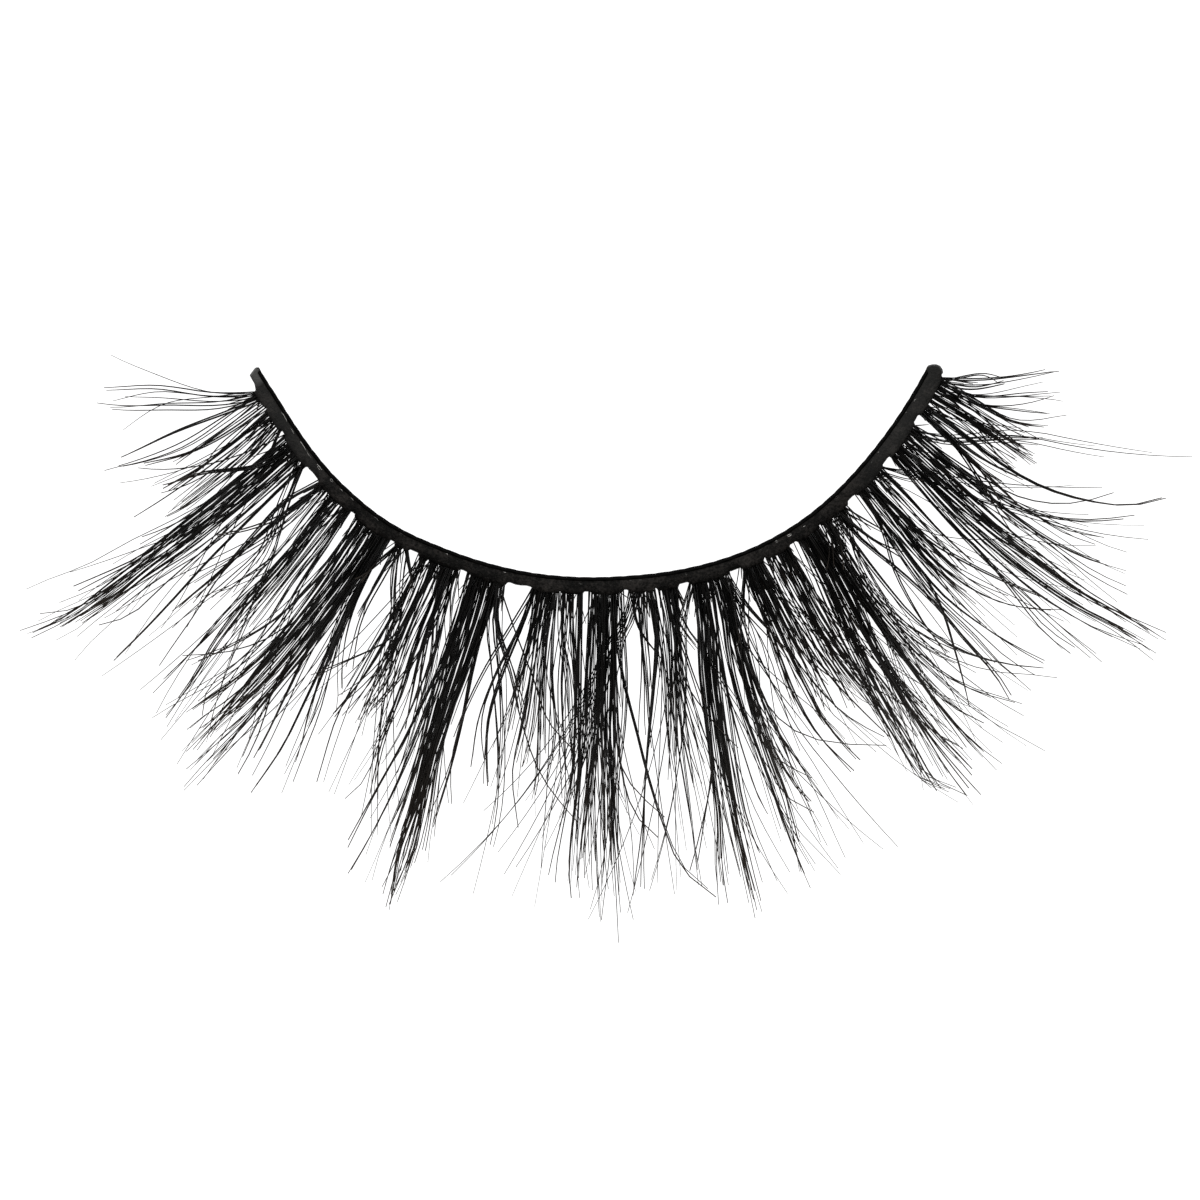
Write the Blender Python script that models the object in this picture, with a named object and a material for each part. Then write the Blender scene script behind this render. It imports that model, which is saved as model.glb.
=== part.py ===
"""A false eyelash strip, lying on a flat surface.

A thin curved band carries twenty-one clusters of tapered lashes on its outer edge, and a fine
thread runs along its inner edge. The origin is on the underside of the band, at the middle of its
length. +Z is up, and the centre that the band curves round lies on +Y, inside its hollow side.

Lengths are in millimetres up to the last step, which turns each mesh into metres. A place along
the strip is an angle in degrees round the band's centre, 0 at the middle and growing towards +X.
A reach is the distance out from the band's inner edge.
"""

import math
from collections import namedtuple

import bmesh
import bpy
from mathutils import Matrix, Vector

METRES_PER_MM = 0.001
SHARP_FROM = 35.0

# The band and the thread along its inner edge
INNER_RADIUS = 15.0
WAVE_HEIGHT = 0.117
WAVES_PER_TURN = 6
BAND_START = -64.9
BAND_END = 65.3
FACET_ANGLE = 2.9
STRIP_WIDTH = 0.58
TAB_END = -61.8
TAB_WIDTH = 0.47
BAND_HEIGHT = 0.45
BAND_EDGE = 0.07
THREAD_WIDTH = 0.22
THREAD_HEIGHT = 0.36
THREAD_EDGE = 0.06
SEAM = 0.04
END_POINT_ANGLE = 0.5
END_SHRINK = 0.55
END_CLEARANCE = 1.0

# The run of a lash: low over the surface, then curling up
ROOT_HEIGHT = 0.21
LOWEST_AT = 2.6
CURL_RADIUS = 12.9
FLOOR_CLEARANCE = 0.005

# How far a lock is lifted over the locks that it crosses
LIFT_WITHIN = 1.1
FLAT = 0.0
OVER = 0.38
TOP = 0.74
CREST = 1.1

# A lock's section
ROOT_THICKNESS = 0.3
LIFTED_THICKNESS = 0.18
TIP_WIDTH = 0.05
TIP_THICKNESS = 0.04
MOST_THICKNESS_SHARE = 0.9
WIDE_LOCK = 0.33
LONG_LOCK = 6.9

# A cluster's head, the knot that the locks grow from
HEAD_THICKNESS = 0.32
HEAD_DEPTH = 0.36
HEAD_CROWN = 0.5
HEAD_CHAMFER = 0.08
HEAD_STATIONS = 4

CENTRE_Y = INNER_RADIUS - WAVE_HEIGHT + 0.5 * (STRIP_WIDTH + THREAD_WIDTH + SEAM)

# One row is one lock: its angle at the root, halfway out and at the tip, its width in mm at the
# root and halfway out, its reach in mm, and how far it is lifted over the locks that it crosses.
Lock = namedtuple("Lock", "root half tip root_width half_width reach lift")
Cluster = namedtuple("Cluster", "left right locks")

CLUSTERS = (
    Cluster(-61.7, -59.2, (
        Lock(-61.3, -65.5, -69.7, 0.22, 0.34, 6.1, FLAT),
        Lock(-61.1, -64.3, -68.0, 0.28, 0.34, 6.5, FLAT),
        Lock(-60.7, -60.0, -61.8, 0.30, 0.16, 7.1, FLAT),
        Lock(-59.7, -59.3, -58.9, 0.30, 0.26, 4.9, FLAT),
    )),
    Cluster(-58.6, -55.2, (
        Lock(-57.8, -56.8, -56.9, 0.44, 0.36, 5.9, FLAT),
        Lock(-56.9, -55.8, -55.3, 0.40, 0.26, 6.0, FLAT),
        Lock(-55.7, -54.5, -54.5, 0.40, 0.38, 6.4, FLAT),
    )),
    Cluster(-53.4, -48.4, (
        Lock(-52.9, -52.4, -52.8, 0.45, 0.34, 13.2, FLAT),
        Lock(-51.3, -51.0, -51.9, 0.80, 0.46, 12.4, FLAT),
        Lock(-49.5, -49.7, -51.0, 0.60, 0.34, 11.1, FLAT),
        Lock(-48.7, -47.8, -46.8, 0.16, 0.12, 12.0, FLAT),
        Lock(-48.8, -45.6, -42.2, 0.30, 0.40, 6.7, TOP),
    )),
    Cluster(-45.2, -39.1, (
        Lock(-44.6, -45.3, -46.4, 0.40, 0.28, 8.5, FLAT),
        Lock(-43.4, -42.5, -44.3, 0.30, 0.22, 7.1, FLAT),
        Lock(-42.1, -41.3, -41.3, 0.60, 0.34, 7.9, FLAT),
        Lock(-40.8, -40.3, -41.0, 0.60, 0.38, 7.7, FLAT),
        Lock(-39.6, -39.1, -38.7, 0.36, 0.26, 6.7, FLAT),
        Lock(-41.6, -41.6, -40.2, 0.12, 0.24, 11.5, OVER),
    )),
    Cluster(-37.9, -31.9, (
        Lock(-37.1, -36.3, -37.3, 0.70, 0.40, 10.7, FLAT),
        Lock(-35.8, -35.5, -36.9, 0.90, 0.50, 12.1, FLAT),
        Lock(-34.2, -34.1, -36.2, 0.80, 0.50, 10.9, FLAT),
        Lock(-32.8, -33.4, -35.0, 0.70, 0.40, 13.1, FLAT),
        Lock(-36.9, -37.3, -42.1, 0.14, 0.14, 9.7, TOP),
        Lock(-32.3, -30.5, -28.8, 0.30, 0.52, 11.6, OVER),
        Lock(-32.2, -30.3, -27.1, 0.22, 0.24, 7.4, OVER),
    )),
    Cluster(-30.7, -28.7, (
        Lock(-29.7, -28.1, -26.2, 0.30, 0.40, 3.0, OVER),
        Lock(-29.1, -27.2, -24.9, 0.22, 0.26, 2.3, OVER),
        Lock(-30.3, -31.4, -31.9, 0.24, 0.18, 2.8, TOP),
        Lock(-29.9, -30.1, -28.2, 0.16, 0.14, 6.3, TOP),
    )),
    Cluster(-26.8, -20.7, (
        Lock(-26.4, -26.7, -27.4, 0.22, 0.32, 7.7, FLAT),
        Lock(-24.9, -24.7, -25.3, 0.50, 0.42, 7.6, FLAT),
        Lock(-23.6, -23.6, -24.1, 0.60, 0.44, 7.5, FLAT),
        Lock(-22.3, -22.4, -21.8, 0.60, 0.46, 8.5, FLAT),
        Lock(-21.1, -19.9, -18.8, 0.36, 0.36, 4.4, OVER),
        Lock(-21.6, -20.6, -19.2, 0.30, 0.40, 8.1, OVER),
    )),
    Cluster(-18.6, -13.3, (
        Lock(-17.9, -18.0, -17.6, 0.70, 0.42, 11.7, FLAT),
        Lock(-16.8, -17.0, -16.8, 0.90, 0.58, 14.0, FLAT),
        Lock(-15.5, -16.1, -16.1, 0.80, 0.44, 13.9, FLAT),
        Lock(-14.6, -14.8, -14.7, 0.50, 0.20, 10.7, FLAT),
        Lock(-18.2, -19.1, -20.6, 0.14, 0.20, 13.4, FLAT),
        Lock(-14.1, -11.5, -9.3, 0.40, 0.54, 10.7, OVER),
    )),
    Cluster(-9.1, -5.3, (
        Lock(-8.9, -12.2, -14.7, 0.34, 0.28, 7.3, TOP),
        Lock(-8.6, -8.8, -9.4, 0.36, 0.32, 7.1, FLAT),
        Lock(-7.7, -7.8, -8.3, 0.40, 0.36, 7.7, FLAT),
        Lock(-6.7, -6.8, -7.2, 0.40, 0.28, 7.9, FLAT),
        Lock(-6.0, -5.9, -5.3, 0.28, 0.28, 7.5, FLAT),
    )),
    Cluster(-4.8, -1.7, (
        Lock(-4.2, -3.4, -2.8, 0.44, 0.40, 7.8, FLAT),
        Lock(-2.9, -2.4, -2.1, 0.40, 0.30, 6.6, FLAT),
        Lock(-2.2, -2.4, -3.5, 0.16, 0.14, 12.7, OVER),
    )),
    Cluster(-0.2, 4.2, (
        Lock(0.2, -0.8, -1.3, 0.40, 0.32, 8.1, FLAT),
        Lock(1.0, 0.3, -1.0, 0.90, 0.60, 12.2, FLAT),
        Lock(2.3, 1.7, 2.1, 0.60, 0.38, 13.8, FLAT),
        Lock(3.9, 3.7, 1.9, 0.36, 0.20, 10.7, FLAT),
        Lock(1.3, 0.7, 0.4, 0.30, 0.34, 13.3, OVER),
        Lock(3.6, 4.9, 10.4, 0.14, 0.12, 13.6, TOP),
    )),
    Cluster(5.4, 8.9, (
        Lock(6.6, 5.4, 3.7, 0.26, 0.32, 2.4, TOP),
        Lock(6.9, 6.1, 5.5, 0.40, 0.32, 6.6, FLAT),
        Lock(7.7, 7.3, 7.0, 0.30, 0.28, 4.9, FLAT),
        Lock(8.3, 6.0, 4.1, 0.30, 0.20, 13.0, OVER),
        Lock(8.5, 8.5, 7.6, 0.34, 0.30, 7.7, FLAT),
    )),
    Cluster(9.7, 12.6, (
        Lock(10.2, 9.8, 8.6, 0.46, 0.36, 7.2, FLAT),
        Lock(11.1, 10.4, 10.0, 0.46, 0.34, 8.5, FLAT),
        Lock(12.1, 11.2, 10.9, 0.28, 0.26, 8.0, FLAT),
        Lock(11.8, 12.4, 13.3, 0.22, 0.30, 3.2, OVER),
    )),
    Cluster(14.5, 20.3, (
        Lock(15.2, 12.5, 11.0, 0.50, 0.40, 13.0, FLAT),
        Lock(16.3, 13.6, 13.1, 0.80, 0.64, 14.0, FLAT),
        Lock(16.8, 15.0, 14.8, 0.30, 0.26, 12.7, FLAT),
        Lock(18.2, 16.9, 17.6, 0.40, 0.34, 13.5, FLAT),
        Lock(19.0, 17.8, 17.9, 0.50, 0.38, 12.8, FLAT),
        Lock(19.9, 18.7, 18.5, 0.36, 0.30, 9.1, FLAT),
        Lock(14.9, 13.6, 12.1, 0.26, 0.28, 2.2, TOP),
        Lock(14.9, 12.9, 8.4, 0.20, 0.12, 12.3, OVER),
        Lock(19.7, 21.2, 23.4, 0.30, 0.40, 4.9, OVER),
        Lock(19.5, 18.9, 20.7, 0.14, 0.14, 11.1, OVER),
    )),
    Cluster(22.6, 25.8, (
        Lock(23.0, 21.2, 19.3, 0.30, 0.40, 3.7, TOP),
        Lock(23.1, 22.8, 22.2, 0.28, 0.18, 7.4, FLAT),
        Lock(23.9, 23.8, 24.7, 0.50, 0.44, 8.5, FLAT),
        Lock(24.8, 24.8, 26.2, 0.36, 0.26, 6.7, FLAT),
        Lock(25.3, 25.9, 27.0, 0.30, 0.28, 7.8, OVER),
        Lock(24.2, 23.4, 24.8, 0.14, 0.26, 10.1, FLAT),
    )),
    Cluster(26.7, 30.1, (
        Lock(27.1, 27.2, 27.3, 0.36, 0.34, 6.8, FLAT),
        Lock(27.8, 27.9, 28.3, 0.30, 0.28, 7.7, FLAT),
        Lock(28.6, 28.6, 29.1, 0.50, 0.50, 7.6, FLAT),
        Lock(29.4, 29.3, 29.4, 0.26, 0.22, 6.6, FLAT),
        Lock(29.9, 29.9, 29.9, 0.14, 0.12, 5.1, FLAT),
    )),
    Cluster(31.7, 35.3, (
        Lock(32.3, 30.5, 31.0, 0.70, 0.44, 12.1, FLAT),
        Lock(33.0, 31.4, 30.9, 0.40, 0.38, 12.4, FLAT),
        Lock(33.7, 32.5, 32.2, 0.50, 0.44, 12.6, FLAT),
        Lock(34.3, 33.4, 33.7, 0.36, 0.28, 9.4, FLAT),
        Lock(33.4, 32.6, 33.4, 0.24, 0.24, 13.5, OVER),
        Lock(34.8, 34.5, 36.0, 0.36, 0.34, 12.7, FLAT),
        Lock(35.0, 34.8, 37.8, 0.16, 0.12, 11.1, OVER),
    )),
    Cluster(36.0, 40.8, (
        Lock(37.0, 35.8, 34.6, 0.30, 0.40, 2.3, TOP),
        Lock(36.5, 35.9, 35.9, 0.30, 0.22, 5.2, FLAT),
        Lock(36.7, 36.5, 40.1, 0.30, 0.56, 11.1, OVER),
        Lock(38.3, 38.1, 44.4, 0.18, 0.14, 11.1, TOP),
        Lock(39.0, 40.5, 40.5, 0.24, 0.12, 11.0, FLAT),
        Lock(39.9, 40.6, 41.5, 0.28, 0.28, 3.9, OVER),
    )),
    Cluster(42.9, 48.3, (
        Lock(43.2, 41.8, 41.9, 0.46, 0.34, 8.3, FLAT),
        Lock(43.3, 41.8, 37.1, 0.14, 0.12, 10.2, CREST),
        Lock(44.0, 43.1, 42.9, 0.60, 0.44, 6.9, FLAT),
        Lock(44.9, 44.0, 44.4, 0.56, 0.36, 7.6, FLAT),
        Lock(45.9, 45.4, 45.1, 0.36, 0.30, 6.1, FLAT),
        Lock(46.9, 46.5, 46.1, 0.36, 0.30, 6.5, FLAT),
        Lock(47.9, 47.2, 47.2, 0.20, 0.16, 6.2, FLAT),
        Lock(45.0, 44.5, 49.4, 0.16, 0.12, 10.2, OVER),
        Lock(47.9, 48.9, 49.9, 0.24, 0.26, 2.2, OVER),
    )),
    Cluster(50.4, 56.2, (
        Lock(50.7, 48.4, 48.4, 0.28, 0.16, 12.1, FLAT),
        Lock(51.2, 49.2, 50.8, 0.28, 0.20, 12.8, FLAT),
        Lock(51.8, 50.2, 51.8, 0.50, 0.40, 13.4, FLAT),
        Lock(53.0, 51.8, 52.9, 0.80, 0.54, 13.4, FLAT),
        Lock(54.0, 53.2, 52.9, 0.40, 0.26, 4.7, FLAT),
        Lock(55.4, 54.0, 54.5, 0.36, 0.20, 11.8, FLAT),
        Lock(55.4, 55.0, 59.8, 0.16, 0.18, 10.2, OVER),
        Lock(55.6, 56.8, 58.9, 0.26, 0.32, 3.2, OVER),
    )),
    Cluster(58.0, 64.3, (
        Lock(58.4, 56.4, 52.9, 0.26, 0.20, 6.1, TOP),
        Lock(58.5, 57.4, 56.7, 0.30, 0.24, 5.3, FLAT),
        Lock(59.3, 58.8, 58.2, 0.46, 0.44, 5.2, FLAT),
        Lock(59.2, 58.2, 64.2, 0.16, 0.12, 11.3, TOP),
        Lock(60.8, 60.5, 60.1, 0.40, 0.38, 5.6, FLAT),
        Lock(61.8, 61.4, 60.9, 0.40, 0.36, 5.5, FLAT),
        Lock(62.6, 62.3, 62.3, 0.28, 0.26, 4.7, FLAT),
        Lock(63.3, 63.0, 62.9, 0.40, 0.30, 5.2, FLAT),
        Lock(63.8, 63.5, 64.8, 0.26, 0.20, 5.6, FLAT),
        Lock(63.9, 66.3, 70.7, 0.26, 0.32, 4.8, OVER),
        Lock(63.7, 65.0, 67.4, 0.20, 0.28, 5.3, FLAT),
    )),
)


def clear_scene():
    for thing in list(bpy.data.objects):
        bpy.data.objects.remove(thing, do_unlink=True)


def material(name, colour, roughness):
    made = bpy.data.materials.new(name)
    made.use_nodes = True
    shader = made.node_tree.nodes["Principled BSDF"]
    shader.inputs["Base Color"].default_value = (*colour, 1.0)
    shader.inputs["Roughness"].default_value = roughness
    shader.inputs["Metallic"].default_value = 0.0
    return made


def smooth_step(value):
    value = min(max(value, 0.0), 1.0)
    return value * value * (3.0 - 2.0 * value)


def inner_edge(angle):
    """The radius of the strip's inner edge, which waves gently along its length."""
    return INNER_RADIUS - WAVE_HEIGHT * math.cos(math.radians(WAVES_PER_TURN * angle))


def strip_width(angle):
    """The strip's full width, less on the bare tab at its left end."""
    share = smooth_step((angle - TAB_END + FACET_ANGLE) / FACET_ANGLE)
    return TAB_WIDTH + (STRIP_WIDTH - TAB_WIDTH) * share


def place(angle, reach, height):
    """The point at this angle, this far out from the inner edge and this high."""
    radius = inner_edge(angle) + reach
    turn = math.radians(angle)
    return Vector((radius * math.sin(turn), CENTRE_Y - radius * math.cos(turn), height))


def skin(rings):
    """A closed mesh through rings of points, with a flat cap on each end."""
    mesh = bmesh.new()
    loops = [[mesh.verts.new(point) for point in ring] for ring in rings]
    count = len(loops[0])
    for first, second in zip(loops, loops[1:]):
        for i in range(count):
            j = (i + 1) % count
            mesh.faces.new((first[i], first[j], second[j], second[i]))
    mesh.faces.new(list(reversed(loops[0])))
    mesh.faces.new(loops[-1])
    bmesh.ops.recalc_face_normals(mesh, faces=mesh.faces)
    data = bpy.data.meshes.new("solid")
    mesh.to_mesh(data)
    mesh.free()
    return data


def add_object(name, data, finish):
    """Puts a finished mesh in the scene, in metres, with smooth round sides."""
    data.transform(Matrix.Scale(METRES_PER_MM, 4))
    data.materials.clear()
    data.materials.append(finish)
    data.shade_smooth()
    data.set_sharp_from_angle(angle=math.radians(SHARP_FROM))
    made = bpy.data.objects.new(name, data)
    bpy.context.scene.collection.objects.link(made)
    return made


def strip_angles():
    """Where the strip's sections stand, so that one facet is centred on the middle."""
    most = int(max(-BAND_START, BAND_END) / FACET_ANGLE)
    angles = [(step + 0.5) * FACET_ANGLE for step in range(-most - 1, most + 1)]
    first = BAND_START + END_CLEARANCE
    last = BAND_END - END_CLEARANCE
    return [BAND_START, *[angle for angle in angles if first < angle < last], BAND_END]


def pointed_end(ring, step):
    """The section that closes an end: shrunk to its middle and carried on a little."""
    middle = sum(ring, Vector()) / len(ring)
    turn = Matrix.Rotation(math.radians(step), 3, "Z")
    centre = Vector((0.0, CENTRE_Y, 0.0))
    return [turn @ (middle + (point - middle) * END_SHRINK - centre) + centre for point in ring]


def band():
    inner = THREAD_WIDTH + SEAM
    rings = []
    for angle in strip_angles():
        outer = strip_width(angle)
        section = (
            (inner, 0.0),
            (outer, 0.0),
            (outer, BAND_HEIGHT - 2.0 * BAND_EDGE),
            (outer - BAND_EDGE, BAND_HEIGHT - 0.5 * BAND_EDGE),
            (inner + BAND_EDGE, BAND_HEIGHT),
            (inner, BAND_HEIGHT - BAND_EDGE),
        )
        rings.append([place(angle, reach, height) for reach, height in section])
    rings.insert(0, pointed_end(rings[0], -END_POINT_ANGLE))
    rings.append(pointed_end(rings[-1], END_POINT_ANGLE))
    return skin(rings)


def edge_thread():
    edge = THREAD_EDGE
    section = (
        (edge, 0.0),
        (THREAD_WIDTH, 0.0),
        (THREAD_WIDTH, THREAD_HEIGHT - edge),
        (THREAD_WIDTH - edge, THREAD_HEIGHT),
        (edge, THREAD_HEIGHT),
        (0.0, THREAD_HEIGHT - edge),
        (0.0, edge),
    )
    rings = []
    for angle in strip_angles():
        rings.append([place(angle, reach, height) for reach, height in section])
    return skin(rings)


def lash_height(reach, half_thickness, lift):
    """The height of a lash's middle: down to the surface, then up along the curl."""
    run = reach - STRIP_WIDTH
    low = half_thickness + FLOOR_CLEARANCE
    base = ROOT_HEIGHT + (low - ROOT_HEIGHT) * smooth_step(run / LOWEST_AT)
    past = max(run - LOWEST_AT, 0.0)
    curl = CURL_RADIUS - math.sqrt(CURL_RADIUS ** 2 - past ** 2)
    return base + curl + lift * smooth_step(run / LIFT_WITHIN)


def through_three(first, half, last, share):
    """The curve that passes through three values, at 0, one half and 1."""
    return (first * (1.0 - share) * (1.0 - 2.0 * share)
            + 4.0 * half * share * (1.0 - share)
            + last * share * (2.0 * share - 1.0))


def lock_solid(lock):
    """One tapered lock of lashes, as a closed mesh."""
    wide = lock.root_width >= WIDE_LOCK or lock.half_width >= WIDE_LOCK
    sides = 6 if wide else 4
    steps = 5 if lock.reach > LONG_LOCK else 4
    start = strip_width(lock.root) + 2.0 * SEAM
    thick = ROOT_THICKNESS if lock.lift == FLAT else LIFTED_THICKNESS
    stations = []
    for step in range(steps + 1):
        share = step / steps
        reach = start + (lock.reach - start) * share
        angle = through_three(lock.root, lock.half, lock.tip, share)
        if share < 0.5:
            width = lock.root_width + (lock.half_width - lock.root_width) * 2.0 * share
        else:
            width = lock.half_width + (TIP_WIDTH - lock.half_width) * (2.0 * share - 1.0)
        tapered = thick + (TIP_THICKNESS - thick) * share
        half_thickness = 0.5 * min(tapered, MOST_THICKNESS_SHARE * width)
        middle = place(angle, reach, lash_height(reach, half_thickness, lock.lift))
        stations.append((middle, 0.5 * width, half_thickness))
    rings = []
    for i, (middle, half_width, half_thickness) in enumerate(stations):
        ahead = stations[min(i + 1, steps)][0] - stations[max(i - 1, 0)][0]
        across = ahead.cross(Vector((0.0, 0.0, 1.0))).normalized()
        upward = across.cross(ahead).normalized()
        ring = []
        for k in range(sides):
            turn = 2.0 * math.pi * k / sides
            ring.append(middle + across * half_width * math.cos(turn)
                        + upward * half_thickness * math.sin(turn))
        rings.append(ring)
    return skin(rings)


def head_solid(cluster):
    """The flat knot at the band's edge that a cluster's locks grow from."""
    rings = []
    for station in range(HEAD_STATIONS):
        share = station / (HEAD_STATIONS - 1)
        angle = cluster.left + (cluster.right - cluster.left) * share
        near = strip_width(angle) + SEAM
        far = near + HEAD_DEPTH + HEAD_CROWN * math.sin(math.pi * share)
        low = ROOT_HEIGHT - 0.5 * HEAD_THICKNESS
        high = ROOT_HEIGHT + 0.5 * HEAD_THICKNESS
        section = (
            (near, low),
            (far, low + HEAD_CHAMFER),
            (far, high - HEAD_CHAMFER),
            (near, high),
        )
        rings.append([place(angle, reach, height) for reach, height in section])
    return skin(rings)


def fused(solids):
    """One closed mesh from a head and the locks that grow out of it."""
    helpers = bpy.data.collections.new("helpers")
    bpy.context.scene.collection.children.link(helpers)
    made = [bpy.data.objects.new("helper", data) for data in solids]
    base = made[0]
    bpy.context.scene.collection.objects.link(base)
    for helper in made[1:]:
        helpers.objects.link(helper)
    union = base.modifiers.new("union", "BOOLEAN")
    union.operation = "UNION"
    union.operand_type = "COLLECTION"
    union.collection = helpers
    union.solver = "EXACT"
    union.use_self = True
    bpy.context.view_layer.update()
    evaluated = base.evaluated_get(bpy.context.evaluated_depsgraph_get())
    data = bpy.data.meshes.new_from_object(evaluated)
    for helper in made:
        bpy.data.objects.remove(helper, do_unlink=True)
    bpy.data.collections.remove(helpers)
    return data


def main():
    clear_scene()
    band_finish = material("satin band", (0.012, 0.011, 0.010), 0.45)
    thread_finish = material("black thread", (0.006, 0.006, 0.006), 0.6)
    lash_finish = material("black fibre", (0.008, 0.007, 0.006), 0.35)
    add_object("band", band(), band_finish)
    add_object("edge_thread", edge_thread(), thread_finish)
    for number, cluster in enumerate(CLUSTERS, start=1):
        solids = [head_solid(cluster)] + [lock_solid(lock) for lock in cluster.locks]
        add_object(f"lash_cluster_{number:02d}", fused(solids), lash_finish)


main()
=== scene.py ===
"""The looks of the false eyelash strip, lying on a plain pale surface and seen from straight above.

Lengths are in millimetres up to the last step, which turns each mesh into metres. A place along
the strip is an angle in degrees round the band's centre, 0 at the middle and growing towards +X.
A reach is the distance out from the circle that the band's inner edge follows.
"""

import math
from collections import namedtuple

import bpy
import numpy as np
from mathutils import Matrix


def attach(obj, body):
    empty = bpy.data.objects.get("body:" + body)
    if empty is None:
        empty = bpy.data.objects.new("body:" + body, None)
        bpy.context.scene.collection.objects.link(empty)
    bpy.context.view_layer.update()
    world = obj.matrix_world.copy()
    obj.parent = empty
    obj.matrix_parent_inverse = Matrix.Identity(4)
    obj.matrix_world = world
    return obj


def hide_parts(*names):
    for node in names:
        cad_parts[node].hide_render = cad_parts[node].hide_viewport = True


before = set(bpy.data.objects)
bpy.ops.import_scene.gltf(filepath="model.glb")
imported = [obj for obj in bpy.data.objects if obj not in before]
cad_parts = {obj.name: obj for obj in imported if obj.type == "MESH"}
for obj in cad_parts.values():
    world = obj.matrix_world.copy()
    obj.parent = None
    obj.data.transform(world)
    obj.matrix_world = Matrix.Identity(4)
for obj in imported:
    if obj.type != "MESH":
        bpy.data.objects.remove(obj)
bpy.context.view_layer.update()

METRES_PER_MM = 0.001
SEED = 20

# The strip: narrower at its bare left tab, and a little wider towards the right
INNER_RADIUS = 15.0
STRIP_WIDTH = 0.58
TAB_END = -61.8
TAB_WIDTH = 0.47
TAB_EASE = 1.4
RIGHT_WIDER = 0.09
RIGHT_FROM = 36.0
RIGHT_EASE = 10.0
BAND_HEIGHT = 0.45
CENTRE_Y = 15.303

# How far the strip's inner edge stands out from its circle, in mm, at these angles
EDGE = ((-66.0, 0.01), (-63.0, -0.05), (-60.0, -0.11), (-55.0, -0.105), (-50.0, -0.04), (-45.0, 0.03),
        (-40.0, 0.07), (-35.0, 0.105), (-30.0, 0.07), (-25.0, -0.015), (-20.0, -0.057), (-15.0, -0.085),
        (-10.0, -0.10), (-5.0, -0.12), (0.0, -0.13), (5.0, -0.125), (10.0, -0.075), (15.0, -0.01),
        (20.0, 0.055), (25.0, 0.105), (30.0, 0.12), (35.0, 0.10), (40.0, 0.04), (45.0, -0.035),
        (50.0, -0.09), (55.0, -0.115), (60.0, -0.11), (66.0, -0.06))

# The band's finer form. Its profile goes round it: shares of its width and of its height. Its ends
# are cut at a slant: the angle they reach at each share of the width. It laps over the thread, and
# covers it whole at its bare ends. Webs of glue widen it at each cluster.
BAND_STATIONS = 900
BAND_PROFILE = ((0.02, 0.0), (0.98, 0.0), (1.0, 0.30), (0.985, 0.70), (0.88, 0.90), (0.66, 0.97),
                (0.42, 1.0), (0.20, 0.99), (0.06, 0.94), (0.0, 0.80), (0.0, 0.30))
LEFT_CUT = ((0.0, -64.9), (0.25, -65.1), (1.0, -64.4))
RIGHT_CUT = ((0.0, 65.1), (0.15, 65.5), (0.5, 65.9), (0.8, 65.75), (1.0, 65.1))
END_HEIGHTS = (0.0, 0.55, 0.85)
BARE_LEFT = -64.7
BARE_RIGHT = 64.6
BARE_EASE = 0.7
BAND_OVERLAP = 0.035
BAND_RIPPLE = 0.012
RIPPLES = 160
BAND_DENT = 0.015
DENTS = 90
WEB_REACH = 0.12
WEB_EASE = 0.35

# Where the band is paler: wholly on its tab, which is a painted highlight, and by a share towards both
# ends
ENDS_PALER = 0.18
PALE_FROM = 40.0
PALE_EASE = 12.0

# The edge thread, of two plies twisted together
THREAD_INNER = -0.015
THREAD_WIDTH = 0.20
THREAD_HEIGHT = 0.36
THREAD_START = -64.9
THREAD_END = 65.0
THREAD_STATIONS = 1500
THREAD_SIDES = 14
THREAD_PITCH = 0.62
THREAD_GROOVE = 0.12
GROOVE_SHARPNESS = 6

# The seam stitches over it: long and bright at the left, fine specks from there on. Their brightness is a
# painted highlight in their colour.
STITCH_START = -61.5
STITCH_END = 64.0
STITCH_BRIGHT_TO = -47.0
STITCH_SPACING = 0.62
STITCH_JITTER = 0.2
STITCH_LENGTH = 0.48
STITCH_LENGTHS = (0.6, 1.2)
SPECK_LENGTHS = (0.15, 0.5)
# How pale the painted highlights of the long stitches and of the specks are
STITCH_HIGHLIGHTS = (0.3, 0.8)
SPECK_HIGHLIGHT = 0.9
STITCH_REACH = 0.21
STITCH_DRIFT = 0.03
STITCH_SLANT = 0.02
STITCH_LOOP = 0.035
LOOP_ROUNDNESS = 0.6
STITCH_HEIGHT = 0.415
STITCH_ARCH = 0.03
STITCH_THICKNESS = 0.012
STITCH_BLUNT = 0.12
STITCH_SHOWS = 0.55

# The run of a lash: low over the surface, then curling up on an arc, and straight on past it. A
# lift carries a tuft over those that it crosses.
ROOT_HEIGHT = 0.21
ROOT_TUCK = 0.04
LOWEST_AT = 2.6
CURL_RADIUS = 12.9
ARC_RUN = 10.6
FLOOR_CLEARANCE = 0.005
LIFT_WITHIN = 1.1
FLAT = 0.0
OVER = 0.38
TOP = 0.74
CREST = 1.1

# A single lash: its radius at the root, in mm, and the share of it that is left at the tip
POINTS_PER_HAIR = 14
SHARES = np.linspace(0.0, 1.0, POINTS_PER_HAIR)[None, :]
SIDES = 3
THICK_HAIR = 0.035
FINE_HAIR = 0.0235
SINGLE_THICKER = 1.3
TIP_SHARE = 0.56
TAPER_POWER = 3.5

# How deep a tuft is, in mm: its hairs lie at different heights
ROOT_THICKNESS = 0.26
TIP_THICKNESS = 0.12

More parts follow.
